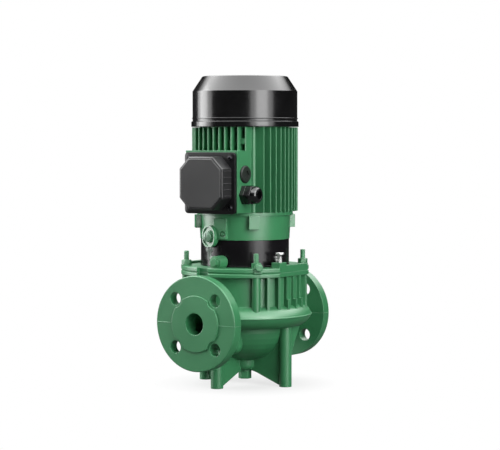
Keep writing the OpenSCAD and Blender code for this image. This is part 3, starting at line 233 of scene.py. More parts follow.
# Roughness that swings a little below and above its middle with the tone
def roughTone(tree, tone, middle, below, above):
    return rangeNode(tree, tone, 0.3, 0.7, middle - below, middle + above)


# Enamel over a casting: grain, uneven tone, a little dust, and lighter edges, which stand partly for paint
# pulled thin and partly for a painted highlight
def castPaint(name, colour, spec):
    mat, tree, bsdf, coord = startMaterial(name)
    grain = placeGroup(tree, "grain", Vector=coord, Grain_Size=spec["grainSize"], Pits=spec["pits"])
    edge = placeGroup(tree, "edge", Radius=spec["edgeRadius"])
    dust = placeGroup(tree, "dust", Vector=coord, Amount=spec["dust"])
    tone = rangeNode(tree, grain.outputs["Tone"], 0.3, 0.7)
    dark = tuple(c * spec["toneDark"] for c in colour)
    light = tuple(min(1, c * spec["toneLight"]) for c in colour)
    base = mixColour(tree, tone, dark, light)
    # Painted highlight: the base is mixed towards a lighter green along every edge, partly also paint pulled
    # thin there
    highlightShare = mathNode(tree, "MULTIPLY", edge.outputs["Edge"], spec["edgeHighlight"])
    base = mixColour(tree, highlightShare, base, spec["edgeHighlightColour"])
    base = mixColour(tree, dust.outputs["Mask"], base, (0.42, 0.43, 0.38))
    tree.links.new(base, bsdf.inputs["Base Color"])
    rough = mathNode(tree, "ADD", roughTone(tree, grain.outputs["Tone"], spec["rough"], 0.05, 0.06),
                     mathNode(tree, "MULTIPLY", dust.outputs["Mask"], 0.35), True)
    tree.links.new(rough, bsdf.inputs["Roughness"])
    tree.links.new(bumpInto(tree, grain.outputs["Height"], edge.outputs["Normal"], spec["bump"], 0.0006),
                   bsdf.inputs["Normal"])
    bsdf.inputs["Coat Weight"].default_value = spec["coat"]
    bsdf.inputs["Coat Roughness"].default_value = spec["coatRough"]
    return mat


# Smooth black lacquer or moulded plastic with a faint orange peel, and edges painted lighter as a highlight
def glossBlack(name, colour, spec):
    mat, tree, bsdf, coord = startMaterial(name)
    edge = placeGroup(tree, "edge", Radius=spec["edgeRadius"])
    dust = placeGroup(tree, "dust", Vector=coord, Amount=spec["dust"])
    peel = noiseNode(tree, coord, spec["peelScale"], 2.0, 0.5)
    cloud = noiseNode(tree, coord, 24.0, 4.0, 0.6)
    base = mixColour(tree, rangeNode(tree, cloud, 0.3, 0.7),
                     tuple(c * 0.8 for c in colour), tuple(c * 1.25 for c in colour))
    # Painted highlight: the base is mixed towards a lighter grey along every edge
    base = mixColour(tree, mathNode(tree, "MULTIPLY", edge.outputs["Edge"], 0.3), base,
                     tuple(c * 2.2 + 0.02 for c in colour))
    base = mixColour(tree, dust.outputs["Mask"], base, (0.3, 0.3, 0.29))
    tree.links.new(base, bsdf.inputs["Base Color"])
    rough = mathNode(tree, "ADD", roughTone(tree, cloud, spec["rough"], 0.03, 0.05),
                     mathNode(tree, "MULTIPLY", dust.outputs["Mask"], 0.4), True)
    tree.links.new(rough, bsdf.inputs["Roughness"])
    tree.links.new(bumpInto(tree, peel, edge.outputs["Normal"], spec["bump"], 0.0003), bsdf.inputs["Normal"])
    bsdf.inputs["Specular IOR Level"].default_value = spec.get("specular", 0.5)
    return mat


# Bare or plated metal with fine tool marks
def bareMetal(name, colour, spec):
    mat, tree, bsdf, coord = startMaterial(name)
    marks = placeGroup(tree, "marks", Vector=coord, Line_Scale=spec["lineScale"])
    edge = placeGroup(tree, "edge", Radius=spec["edgeRadius"])
    base = mixColour(tree, rangeNode(tree, marks.outputs["Tone"], 0.3, 0.7),
                     tuple(c * 0.82 for c in colour), tuple(min(1, c * 1.1) for c in colour))
    tree.links.new(base, bsdf.inputs["Base Color"])
    tree.links.new(roughTone(tree, marks.outputs["Tone"], spec["rough"], 0.06, 0.08),
                   bsdf.inputs["Roughness"])
    tree.links.new(bumpInto(tree, marks.outputs["Height"], edge.outputs["Normal"], spec["bump"], 0.0002),
                   bsdf.inputs["Normal"])
    bsdf.inputs["Metallic"].default_value = spec.get("metallic", 1.0)
    return mat


# Soft or dull moulded stuff: rubber, carbon, grained plastic, with edges painted lighter as a highlight
def dullMould(name, colour, spec):
    mat, tree, bsdf, coord = startMaterial(name)
    grain = placeGroup(tree, "grain", Vector=coord, Grain_Size=spec["grainSize"], Pits=0.2)
    edge = placeGroup(tree, "edge", Radius=spec["edgeRadius"])
    base = mixColour(tree, rangeNode(tree, grain.outputs["Tone"], 0.3, 0.7),
                     tuple(c * 0.85 for c in colour), tuple(c * 1.15 for c in colour))
    # Painted highlight: the base is mixed towards the lighter edge colour along every edge
    base = mixColour(tree, mathNode(tree, "MULTIPLY", edge.outputs["Edge"], spec["edgeHighlight"]), base,
                     spec["edgeHighlightColour"])
    tree.links.new(base, bsdf.inputs["Base Color"])
    tree.links.new(roughTone(tree, grain.outputs["Tone"], spec["rough"], 0.05, 0.05),
                   bsdf.inputs["Roughness"])
    tree.links.new(bumpInto(tree, grain.outputs["Height"], edge.outputs["Normal"], spec["bump"], 0.0003),
                   bsdf.inputs["Normal"])
    return mat


# The edge share and edge colour below set a painted highlight: a lighter colour mixed in along edges
paintLook = {"grainSize": 420.0, "pits": 0.25, "edgeRadius": 0.0012, "dust": 0.02, "toneDark": 0.9,
             "toneLight": 1.1, "edgeHighlight": 0.45, "edgeHighlightColour": (0.13, 0.36, 0.2), "rough": 0.42,
             "bump": 0.2, "coat": 0.15, "coatRough": 0.2}

looks = {
    "castingGreen": castPaint("castingGreen", (0.028, 0.152, 0.06), paintLook),
    "motorGreen": castPaint("motorGreen", (0.029, 0.15, 0.061),
                            {**paintLook, "edgeRadius": 0.0006, "pits": 0.1, "bump": 0.12}),
    "ringGreen": castPaint("ringGreen", (0.032, 0.17, 0.068),
                           {**paintLook, "pits": 0.1, "bump": 0.08, "edgeHighlight": 0.2, "rough": 0.3,
                            "coat": 0.4}),
    # A lighter, greyer copy of the casing green, so that the bleed screw shows bright: a painted highlight
    "screwGreenHighlight": castPaint("screwGreenHighlight", (0.1, 0.2, 0.13),
                            {**paintLook, "pits": 0.05, "bump": 0.06, "edgeRadius": 0.0004, "rough": 0.36}),
    "hoodBlack": glossBlack("hoodBlack", (0.004, 0.004, 0.0042),
                            {"edgeRadius": 0.0003, "dust": 0.04, "peelScale": 300.0, "rough": 0.17,
                             "bump": 0.01}),
    "guardBlack": glossBlack("guardBlack", (0.004, 0.0036, 0.0045),
                             {"edgeRadius": 0.0005, "dust": 0.03, "peelScale": 500.0, "rough": 0.24,
                              "bump": 0.06, "specular": 0.28}),
    "glandBlack": glossBlack("glandBlack", (0.004, 0.004, 0.0045),
                             {"edgeRadius": 0.0006, "dust": 0.01, "peelScale": 600.0, "rough": 0.12,
                              "bump": 0.02}),
    "plugBlack": glossBlack("plugBlack", (0.009, 0.012, 0.01),
                            {"edgeRadius": 0.0006, "dust": 0.03, "peelScale": 900.0, "rough": 0.5,
                             "bump": 0.1, "specular": 0.25}),
    "boxBlack": glossBlack("boxBlack", (0.005, 0.005, 0.0055),
                           {"edgeRadius": 0.0006, "dust": 0.02, "peelScale": 900.0, "rough": 0.32,
                            "bump": 0.08, "specular": 0.22}),
    "screwBlack": bareMetal("screwBlack", (0.022, 0.022, 0.025),
                            {"lineScale": 900.0, "edgeRadius": 0.0003, "rough": 0.36, "bump": 0.1}),
    # The lid's edges are painted a much lighter grey than its face: a painted highlight
    "boxGrey": dullMould("boxGrey", (0.005, 0.0052, 0.0056),
                         {"grainSize": 900.0, "edgeRadius": 0.0007, "rough": 0.42, "bump": 0.2,
                          "edgeHighlight": 0.5, "edgeHighlightColour": (0.16, 0.16, 0.165)}),
    "zincSteel": bareMetal("zincSteel", (0.4, 0.405, 0.4),
                           {"lineScale": 700.0, "edgeRadius": 0.0003, "rough": 0.44, "bump": 0.12}),
    "tubeSteel": bareMetal("tubeSteel", (0.1, 0.125, 0.11),
                           {"lineScale": 700.0, "edgeRadius": 0.0003, "rough": 0.5, "bump": 0.12,
                            "metallic": 0.2}),
    "groundSteel": bareMetal("groundSteel", (0.6, 0.6, 0.61),
                             {"lineScale": 1400.0, "edgeRadius": 0.0003, "rough": 0.26, "bump": 0.1}),
    "coreIron": bareMetal("coreIron", (0.22, 0.225, 0.24),
                          {"lineScale": 1100.0, "edgeRadius": 0.0002, "rough": 0.5, "bump": 0.6}),
    "windingCopper": bareMetal("windingCopper", (0.62, 0.27, 0.12),
                               {"lineScale": 600.0, "edgeRadius": 0.0012, "rough": 0.38, "bump": 0.8}),
    "castBronze": bareMetal("castBronze", (0.6, 0.4, 0.16),
                            {"lineScale": 400.0, "edgeRadius": 0.0005, "rough": 0.4, "bump": 0.3}),
    "darkRubber": dullMould("darkRubber", (0.02, 0.02, 0.02),
                            {"grainSize": 1200.0, "edgeRadius": 0.0003, "rough": 0.7, "bump": 0.15,
                             "edgeHighlight": 0.1, "edgeHighlightColour": (0.05, 0.05, 0.05)}),
    "sealCarbon": dullMould("sealCarbon", (0.035, 0.035, 0.04),
                            {"grainSize": 1500.0, "edgeRadius": 0.0002, "rough": 0.38, "bump": 0.1,
                             "edgeHighlight": 0.2, "edgeHighlightColour": (0.08, 0.08, 0.09)}),
    "sealCeramic": dullMould("sealCeramic", (0.72, 0.7, 0.64),
                             {"grainSize": 1500.0, "edgeRadius": 0.0002, "rough": 0.25, "bump": 0.05,
                              "edgeHighlight": 0.1, "edgeHighlightColour": (0.8, 0.79, 0.75)}),
}

slotLooks = {"casing_paint": "castingGreen", "motor_paint": "motorGreen", "guard_black": "guardBlack",
             "cowl_black": "hoodBlack", "box_grey": "boxGrey", "gland_black": "glandBlack",
             "screw_black": "screwBlack", "zinc_steel": "zincSteel", "shaft_steel": "groundSteel",
             "core_iron": "coreIron", "copper": "windingCopper", "bronze": "castBronze",
             "rubber": "darkRubber", "carbon": "sealCarbon", "ceramic": "sealCeramic"}
nodeLooks = {"terminal_base": "boxBlack", "lantern": "ringGreen", "bleed_screw": "screwGreenHighlight",
             "blanking_plug": "plugBlack"}

for entry in frame["record"]["subparts"]:
    obj = nodes[entry["node"]]
    obj.data.materials.clear()
    obj.data.materials.append(looks[nodeLooks.get(entry["node"], slotLooks[entry["material_slot"]])])
print("materials set")


# Helpers for meshes: sizes come in millimetres, meshes are made in metres

milli = 0.001
smoothBelow = 35   # degrees; sharper edges stay hard


# Rounds the corners of an outline given as (x, y, radius)
def filletLoop(corners, closed=True, steps=4):
    out = []
    count = len(corners)
    for i, (x, y, r) in enumerate(corners):
        if r <= 0 or (not closed and i in (0, count - 1)):
            out.append((x, y))
            continue
        here = Vector((x, y))
        a = Vector(corners[i - 1][:2]) - here
        b = Vector(corners[(i + 1) % count][:2]) - here
        half = a.angle(b) / 2
        cut = min(r / math.tan(half), 0.45 * min(a.length, b.length))
        a.normalize()
        b.normalize()
        radius = cut * math.tan(half)
        centre = here + (a + b).normalized() * radius / math.sin(half)
        p, q = here + a * cut - centre, here + b * cut - centre
        start = math.atan2(p.y, p.x)
        turn = (math.atan2(q.y, q.x) - start + math.pi) % (2 * math.pi) - math.pi
        for k in range(steps + 1):
            t = start + turn * k / steps
            out.append((centre.x + radius * math.cos(t), centre.y + radius * math.sin(t)))
    return out


# Joins rings of equally many points; a ring of one point is a pole
def loftRings(rings, wrap=False, caps=False):
    verts, index = [], []
    steps = max(len(r) for r in rings)
    for ring in rings:
        first = len(verts)
        verts += [Vector(p) for p in ring]
        index.append([first + (k if len(ring) > 1 else 0) for k in range(steps)])
    faces = []
    for i in range(len(rings) if wrap else len(rings) - 1):
        a, b = index[i], index[(i + 1) % len(rings)]
        for k in range(steps):
            j = (k + 1) % steps
            face = list(dict.fromkeys((a[k], a[j], b[j], b[k])))
            if len(face) > 2:
                faces.append(face)
    if caps:
        faces += [index[0][::-1], index[-1]]
    return verts, faces


def latheShape(loop, steps, wrap=True):
    rings = []
    for r, z in loop:
        if r < 1e-6:
            rings.append([(0, 0, z)])
        else:
            rings.append([(r * math.cos(2 * math.pi * k / steps), r * math.sin(2 * math.pi * k / steps), z)
                          for k in range(steps)])
    return loftRings(rings, wrap)


# Sweeps a round or flat section along points in space
def sweepShape(path, outline, up=(0, 0, 1)):
    points = [Vector(p) for p in path]
    rings = []
    for i, p in enumerate(points):
        ahead = (points[min(i + 1, len(points) - 1)] - points[max(i - 1, 0)]).normalized()
        side = ahead.cross(Vector(up)).normalized()
        top = side.cross(ahead)
        rings.append([p + side * a + top * b for a, b in outline])
    return loftRings(rings, caps=True)


def joinShapes(*shapes):
    verts, faces = [], []
    for v, f in shapes:
        first = len(verts)
        verts += v
        faces += [[first + i for i in face] for face in f]
    return verts, faces


def makeObject(name, shape, look, sharp=smoothBelow, place=None):
    mesh = bpy.data.meshes.new(name)
    verts, faces = shape
    mesh.from_pydata([tuple(v) for v in verts], [], faces)
    mesh.transform(Matrix.Scale(milli, 4))
    if place is not None:
        mesh.transform(place)
    finishMesh(mesh, sharp)
    mesh.materials.append(looks[look])
    piece = bpy.data.objects.new(name, mesh)
    bpy.context.scene.collection.objects.link(piece)
    return piece


def finishMesh(mesh, sharp):
    work = bmesh.new()
    work.from_mesh(mesh)
    bmesh.ops.remove_doubles(work, verts=work.verts, dist=1e-7)
    bmesh.ops.recalc_face_normals(work, faces=work.faces)
    work.to_mesh(mesh)
    work.free()
    for face in mesh.polygons:
        face.use_smooth = True
    mesh.set_sharp_from_angle(angle=math.radians(sharp))


def settle(piece, body, slotName, *replaced):
    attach(piece, body)
    if replaced:
        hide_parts(*replaced)
    return piece


# Helpers for geometry trees

def linkChain(tree, *pairs):
    for a, b in pairs:
        tree.links.new(a, b)


def combine(tree, x, y, z):
    n = tree.nodes.new("ShaderNodeCombineXYZ")
    for sock, v in zip(n.inputs, (x, y, z)):
        feed(tree, sock, v)
    return n.outputs[0]


# Copies of a piece on a circle, each turned to face outwards
def makeCopiesRound():
    tree, gin, gout = newTree("copiesRound",
        [("Piece", "NodeSocketObject", None), ("Copies", "NodeSocketInt", 4),
         ("Circle Radius", "NodeSocketFloat", 0.1), ("First Angle", "NodeSocketFloat", 0.0),
         ("Look", "NodeSocketMaterial", None)],
        [("Geometry", "NodeSocketGeometry")], "GeometryNodeTree")
    index = tree.nodes.new("GeometryNodeInputIndex").outputs[0]
    step = mathNode(tree, "DIVIDE", 2 * math.pi, gin.outputs["Copies"])
    angle = mathNode(tree, "ADD", mathNode(tree, "MULTIPLY", index, step), gin.outputs["First Angle"])
    x = mathNode(tree, "MULTIPLY", mathNode(tree, "COSINE", angle), gin.outputs["Circle Radius"])
    y = mathNode(tree, "MULTIPLY", mathNode(tree, "SINE", angle), gin.outputs["Circle Radius"])
    points = tree.nodes.new("GeometryNodePoints")
    info = tree.nodes.new("GeometryNodeObjectInfo")
    place = tree.nodes.new("GeometryNodeInstanceOnPoints")
    real = tree.nodes.new("GeometryNodeRealizeInstances")
    paint = tree.nodes.new("GeometryNodeSetMaterial")
    linkChain(tree, (gin.outputs["Copies"], points.inputs["Count"]),
              (combine(tree, x, y, 0.0), points.inputs["Position"]),
              (points.outputs[0], place.inputs["Points"]),
              (gin.outputs["Piece"], info.inputs["Object"]),
              (info.outputs["Geometry"], place.inputs["Instance"]),
              (combine(tree, 0.0, 0.0, angle), place.inputs["Rotation"]),
              (place.outputs[0], real.inputs[0]), (real.outputs[0], paint.inputs["Geometry"]),
              (gin.outputs["Look"], paint.inputs["Material"]), (paint.outputs[0], gout.inputs[0]))
    return tree


# Copies of a piece in a straight row about the middle
def makeCopiesInRow():
    tree, gin, gout = newTree("copiesInRow",
        [("Piece", "NodeSocketObject", None), ("Copies", "NodeSocketInt", 5),
         ("Pitch", "NodeSocketFloat", 0.01), ("Look", "NodeSocketMaterial", None)],
        [("Geometry", "NodeSocketGeometry")], "GeometryNodeTree")
    index = tree.nodes.new("GeometryNodeInputIndex").outputs[0]
    middle = mathNode(tree, "DIVIDE", mathNode(tree, "SUBTRACT", gin.outputs["Copies"], 1.0), 2.0)
    x = mathNode(tree, "MULTIPLY", mathNode(tree, "SUBTRACT", index, middle), gin.outputs["Pitch"])
    points = tree.nodes.new("GeometryNodePoints")
    info = tree.nodes.new("GeometryNodeObjectInfo")
    place = tree.nodes.new("GeometryNodeInstanceOnPoints")
    real = tree.nodes.new("GeometryNodeRealizeInstances")
    paint = tree.nodes.new("GeometryNodeSetMaterial")
    linkChain(tree, (gin.outputs["Copies"], points.inputs["Count"]),
              (combine(tree, x, 0.0, 0.0), points.inputs["Position"]),
              (points.outputs[0], place.inputs["Points"]),
              (gin.outputs["Piece"], info.inputs["Object"]),
              (info.outputs["Geometry"], place.inputs["Instance"]),
              (place.outputs[0], real.inputs[0]), (real.outputs[0], paint.inputs["Geometry"]),
              (gin.outputs["Look"], paint.inputs["Material"]), (paint.outputs[0], gout.inputs[0]))
    return tree


# Rings at an even pitch crossed by spokes, as in an air inlet grille
def makeSpokedRings():
    tree, gin, gout = newTree("spokedRings",
        [("Rings", "NodeSocketInt", 4), ("First Radius", "NodeSocketFloat", 0.02),
         ("Pitch", "NodeSocketFloat", 0.01), ("Rib Width", "NodeSocketFloat", 0.002),
         ("Rib Height", "NodeSocketFloat", 0.002), ("Spokes", "NodeSocketInt", 8),
         ("Spoke Start", "NodeSocketFloat", 0.01), ("Spoke Length", "NodeSocketFloat", 0.05),
         ("Height", "NodeSocketFloat", 0.0), ("Look", "NodeSocketMaterial", None)],
        [("Geometry", "NodeSocketGeometry")], "GeometryNodeTree")
    index = tree.nodes.new("GeometryNodeInputIndex").outputs[0]
    radius = mathNode(tree, "ADD", gin.outputs["First Radius"],
                      mathNode(tree, "MULTIPLY", index, gin.outputs["Pitch"]))
    ringPoints = tree.nodes.new("GeometryNodePoints")
    circle = tree.nodes.new("GeometryNodeCurvePrimitiveCircle")
    circle.inputs["Resolution"].default_value = 128
    circle.inputs["Radius"].default_value = 1.0
    ringPlace = tree.nodes.new("GeometryNodeInstanceOnPoints")
    ringReal = tree.nodes.new("GeometryNodeRealizeInstances")
    section = tree.nodes.new("GeometryNodeCurvePrimitiveQuadrilateral")
    soften = tree.nodes.new("GeometryNodeFilletCurve")
    soften.mode = "POLY"
    soften.inputs["Count"].default_value = 2
    soften.inputs["Radius"].default_value = 0.0005
    sweep = tree.nodes.new("GeometryNodeCurveToMesh")
    spokeStep = mathNode(tree, "DIVIDE", 2 * math.pi, gin.outputs["Spokes"])
    spokeAngle = mathNode(tree, "MULTIPLY", index, spokeStep)
    middle = mathNode(tree, "ADD", gin.outputs["Spoke Start"],
                      mathNode(tree, "DIVIDE", gin.outputs["Spoke Length"], 2.0))
    spokeAt = combine(tree, mathNode(tree, "MULTIPLY", mathNode(tree, "COSINE", spokeAngle), middle),
                      mathNode(tree, "MULTIPLY", mathNode(tree, "SINE", spokeAngle), middle), 0.0)
    spokePoints = tree.nodes.new("GeometryNodePoints")
    bar = tree.nodes.new("GeometryNodeMeshCube")
    spokePlace = tree.nodes.new("GeometryNodeInstanceOnPoints")
    join = tree.nodes.new("GeometryNodeJoinGeometry")
    lift = tree.nodes.new("GeometryNodeTransform")
    real = tree.nodes.new("GeometryNodeRealizeInstances")
    paint = tree.nodes.new("GeometryNodeSetMaterial")
    linkChain(tree, (gin.outputs["Rings"], ringPoints.inputs["Count"]),
              (ringPoints.outputs[0], ringPlace.inputs["Points"]),
              (circle.outputs["Curve"], ringPlace.inputs["Instance"]),
              (combine(tree, radius, radius, 1.0), ringPlace.inputs["Scale"]),
              (ringPlace.outputs[0], ringReal.inputs[0]), (ringReal.outputs[0], sweep.inputs["Curve"]),
              (gin.outputs["Rib Width"], section.inputs["Width"]),
              (gin.outputs["Rib Height"], section.inputs["Height"]),
              (section.outputs[0], soften.inputs["Curve"]),
              (soften.outputs[0], sweep.inputs["Profile Curve"]),
              (gin.outputs["Spokes"], spokePoints.inputs["Count"]),
              (spokeAt, spokePoints.inputs["Position"]),
              (combine(tree, gin.outputs["Spoke Length"], gin.outputs["Rib Width"],
                       gin.outputs["Rib Height"]), bar.inputs["Size"]),
              (spokePoints.outputs[0], spokePlace.inputs["Points"]),
              (bar.outputs["Mesh"], spokePlace.inputs["Instance"]),
              (combine(tree, 0.0, 0.0, spokeAngle), spokePlace.inputs["Rotation"]),
              (sweep.outputs[0], join.inputs[0]), (spokePlace.outputs[0], join.inputs[0]),
              (join.outputs[0], lift.inputs["Geometry"]),
              (combine(tree, 0.0, 0.0, gin.outputs["Height"]), lift.inputs["Translation"]),
              (lift.outputs[0], real.inputs[0]), (real.outputs[0], paint.inputs["Geometry"]),
              (gin.outputs["Look"], paint.inputs["Material"]), (paint.outputs[0], gout.inputs[0]))
    return tree


trees = {"round": makeCopiesRound(), "row": makeCopiesInRow(), "grille": makeSpokedRings()}


def growTree(name, key, values, place=None):
    tree = trees[key]
    piece = bpy.data.objects.new(name, bpy.data.meshes.new(name))
    bpy.context.scene.collection.objects.link(piece)
    mod = piece.modifiers.new("grow", "NODES")
    mod.node_group = tree
    for item in tree.interface.items_tree:
        if item.item_type == "SOCKET" and item.in_out == "INPUT":
            mod[item.identifier] = values[item.name]
    graph = bpy.context.evaluated_depsgraph_get()
    graph.update()
    mesh = bpy.data.meshes.new_from_object(piece.evaluated_get(graph))
    piece.modifiers.remove(mod)
    if place is not None:
        mesh.transform(place)
    finishMesh(mesh, smoothBelow)
    piece.data = mesh
    return piece


def copyRound(name, master, spec, look, place=None):
    piece = growTree(name, "round", {"Piece": master, "Copies": spec["copies"],
                                     "Circle Radius": spec["circleRadius"] * milli,
                                     "First Angle": math.radians(spec["firstAngle"]),
                                     "Look": looks[look]}, place=place)
    bpy.data.objects.remove(master)
    return piece


# Fan hood: one turned shell with a rounded rim, and the inlet grille grown by rule

hood = {
    "base": 386.0, "height": 75.5,
    "section": [   # radius, height over the base, corner radius
        (78.9, 0.3, 0.2), (80.5, 0.0, 1.2), (80.5, 7.7, 0.4), (79.2, 8.2, 0.3), (78.5, 8.9, 0.2),
        (78.5, 11.3, 0.2), (79.4, 11.9, 0.25), (79.4, 13.0, 0.25), (78.6, 13.4, 0.2), (78.6, 53.0, 1.2),
        (63.8, 75.5, 3.2),
        (58.8, 75.5, 0.4), (58.8, 73.6, 0.3), (61.6, 73.6, 1.0), (76.9, 52.4, 1.0), (77.0, 10.0, 0.6),
        (78.9, 8.4, 0.4)],
    "steps": 192,
    "grilleHub": 12.0, "grilleReach": 59.6, "grilleSunk": 0.1, "hubOverlap": 1.0,
    "ringPitch": 9.8, "ringInset": 1.1, "rings": 4, "ribWidth": 2.2, "ribHeight": 1.9, "spokes": 8,
    "capThickness": 2.0, "dishRadius": 6.0, "dishRim": 6.5, "dishDepth": 0.6,
}


def buildHood(spec):
    loop = [(r, z + spec["base"]) for r, z in filletLoop(spec["section"], True, 5)]
    shell = makeObject("fanHoodShell", latheShape(loop, spec["steps"]), "hoodBlack", 40)
    settle(shell, "pump", "cowl_black", "fan_cover")
    top = spec["base"] + spec["height"]
    grille = growTree("fanHoodGrille", "grille", {
        "Rings": spec["rings"],
        "First Radius": (spec["grilleHub"] + spec["ringPitch"] - spec["ringInset"]) * milli,
        "Pitch": spec["ringPitch"] * milli, "Rib Width": spec["ribWidth"] * milli,
        "Rib Height": spec["ribHeight"] * milli, "Spokes": spec["spokes"],
        "Spoke Start": (spec["grilleHub"] - spec["hubOverlap"]) * milli,
        "Spoke Length": (spec["grilleReach"] - spec["grilleHub"]) * milli,
        "Height": (top - spec["ribHeight"] / 2 - spec["grilleSunk"]) * milli, "Look": looks["hoodBlack"]})
    settle(grille, "pump", "cowl_black")
    hub, low, dish = spec["grilleHub"], top - spec["capThickness"], top - spec["dishDepth"]
    cap = filletLoop([(0, low, 0), (hub, low, 0.4), (hub, top, 0.9), (spec["dishRim"], top, 0.4),
                      (spec["dishRadius"], dish, 0.4), (0, dish, 0)], False, 4)
    settle(makeObject("fanHoodCap", latheShape(cap, 96, False), "hoodBlack"), "pump", "cowl_black")


buildHood(hood)
print("hood built")


# Terminal box lid with draft, rounded edges and side ribs, on a black screwed flange

lid = {
    "backX": 89.3, "centreZ": 303.6,
    "octagon": [   # width over the flats, height over the back, from the inner ceiling round to the front
        (71.0, 23.2), (72.6, 22.4), (73.2, 0.0), (78.0, 0.0), (78.0, 3.4), (77.2, 21.9), (76.9, 23.2),
        (76.2, 24.1), (75.0, 24.8), (73.4, 25.0), (71.2, 25.0), (70.5, 25.15), (70.2, 25.7), (69.6, 26.0),
        (66.0, 26.0), (40.0, 26.0)],
    "cut": 17.5, "cutTaper": 0.29, "backWidth": 78.0, "cornerRadius": 2.2,
    "flangeWidth": 90.0, "flangeThickness": 2.3, "flangeCorner": 6.0, "flangeHole": 56.0,
    "screwPitch": 72.5, "screwSunk": 0.8,
    "ribs": 5, "ribPitch": 9.0, "ribAcross": 38.8,
    "ribSection": [(-0.7, -0.6), (0.7, -0.6), (0.62, 0.3), (0.3, 0.62), (-0.3, 0.62), (-0.62, 0.3)],
    "ribHeights": [(2.4, 1), (20.6, 1), (21.2, 0.7)],   # height over the back, share of the width
}
crossHead = {
    "length": 14.0, "shankRadius": 1.65, "headRadius": 3.8, "rimHeight": 1.4, "crownRadius": 2.6,
    "headHeight": 2.6,
    "recess": [(0.9, 1.1, 0.35), (3.2, 2.5, 0.6)],   # height over the underside, half length, half width
}
facingOut = Matrix(((0, 0, -1, -lid["backX"] * milli), (0, -1, 0, 0),
                    (-1, 0, 0, lid["centreZ"] * milli), (0, 0, 0, 1)))


def octagonRing(width, cut, radius, z):
    h = width / 2
    corners = [(h, h - cut), (h - cut, h), (cut - h, h), (-h, h - cut),
               (-h, cut - h), (cut - h, -h), (h - cut, -h), (h, cut - h)]
    return [(x, y, z) for x, y in filletLoop([(x, y, radius) for x, y in corners], True, 4)]


def squareRing(width, radius, z):
    h = width / 2
    return [(x, y, z) for x, y in filletLoop([(h, h, radius), (-h, h, radius), (-h, -h, radius),
                                             (h, -h, radius)], True, 8)]


def buildLid(spec):
    rings = [octagonRing(w, spec["cut"] - (spec["backWidth"] - w) * spec["cutTaper"],
                         spec["cornerRadius"], z) for w, z in spec["octagon"]]
    shell = makeObject("terminalLid", loftRings(rings, caps=True), "boxGrey", 40, facingOut)
    settle(shell, "pump", "box_grey", "terminal_cover")
    w, t, c = spec["flangeWidth"], spec["flangeThickness"], spec["flangeCorner"]
    plate = [squareRing(spec["flangeHole"], 5, 0.0), squareRing(w - 1.0, c - 0.5, 0.0),
             squareRing(w - 0.3, c - 0.15, 0.15), squareRing(w, c, 0.5), squareRing(w, c, t - 0.6),
             squareRing(w - 0.4, c - 0.2, t - 0.18), squareRing(w - 1.2, c - 0.6, t),
             squareRing(spec["flangeHole"], 5, t)]
    flange = makeObject("terminalLidFlange", loftRings(plate, True), "boxBlack", 40, facingOut)
    settle(flange, "pump", "box_grey")
    collar = filletLoop([(2.2, t - 0.4, 0), (5.2, t - 0.4, 0), (5.0, t + 0.5, 0.3), (4.1, t + 0.5, 0.2),
                         (4.0, t - 0.2, 0), (2.2, t - 0.2, 0)], True, 3)
    round4 = {"copies": 4, "circleRadius": spec["screwPitch"] / math.sqrt(2), "firstAngle": 45}
    collars = copyRound("terminalLidCollars", makeObject("collarMaster", latheShape(collar, 40), "boxBlack"),
                        round4, "boxBlack", facingOut)
    settle(collars, "pump", "box_grey")
    screws = copyRound("terminalLidScrews", crossHeadScrew(crossHead, t - spec["screwSunk"]), round4,
                       "screwBlack", facingOut)
    settle(screws, "pump", "screw_black", "terminal_cover_screws")
    rib = [[(a * share, b, z) for a, b in spec["ribSection"]] for z, share in spec["ribHeights"]]
    for side in (-1, 1):
        master = makeObject("ribMaster", loftRings(rib, caps=True), "boxGrey")
        place = facingOut @ Matrix.Translation((0, side * spec["ribAcross"] * milli, 0)) @ Matrix.Rotation(
            0 if side > 0 else math.pi, 4, "Z")
        row = growTree("terminalLidRibs" + ("Left" if side > 0 else "Right"), "row",
                       {"Piece": master, "Copies": spec["ribs"], "Pitch": spec["ribPitch"] * milli,
                        "Look": looks["boxGrey"]}, place=place)
        bpy.data.objects.remove(master)
        settle(row, "pump", "box_grey")


# Pan head with a cross recess on a plain shank, underside at the height given
def crossHeadScrew(spec, base):
    shank, rim = spec["shankRadius"], spec["headRadius"]
    end, crown = base - spec["length"], base + spec["headHeight"]
    head = filletLoop([(0, end, 0), (shank, end, 0.3), (shank, base, 0), (rim, base, 0.2),
                       (rim, base + spec["rimHeight"], 0.8), (spec["crownRadius"], crown, 1.5),
                       (0, crown, 0)], False, 4)
    body = makeObject("screwMaster", latheShape(head, 40, False), "screwBlack")
    recess = []
    for turned in (False, True):
        rings = []
        for rise, half, wide in spec["recess"]:
            ring = [(-half, -wide), (half, -wide), (half, wide), (-half, wide)]
            rings.append([((y if turned else x), (x if turned else y), base + rise) for x, y in ring])
        recess.append(loftRings(rings, caps=True))
    for shape in recess:
        cutter = makeObject("recessCutter", shape, "screwBlack")
        cut = body.modifiers.new("recess", "BOOLEAN")
        cut.operation = "DIFFERENCE"
        cut.solver = "EXACT"
        cut.object = cutter
        graph = bpy.context.evaluated_depsgraph_get()
        graph.update()
        mesh = bpy.data.meshes.new_from_object(body.evaluated_get(graph))
        body.modifiers.remove(cut)
        body.data = mesh
        bpy.data.objects.remove(cutter)
    return body


buildLid(lid)
print("terminal box built")


# Threaded studs with their nuts and washers, and the two jacking screws

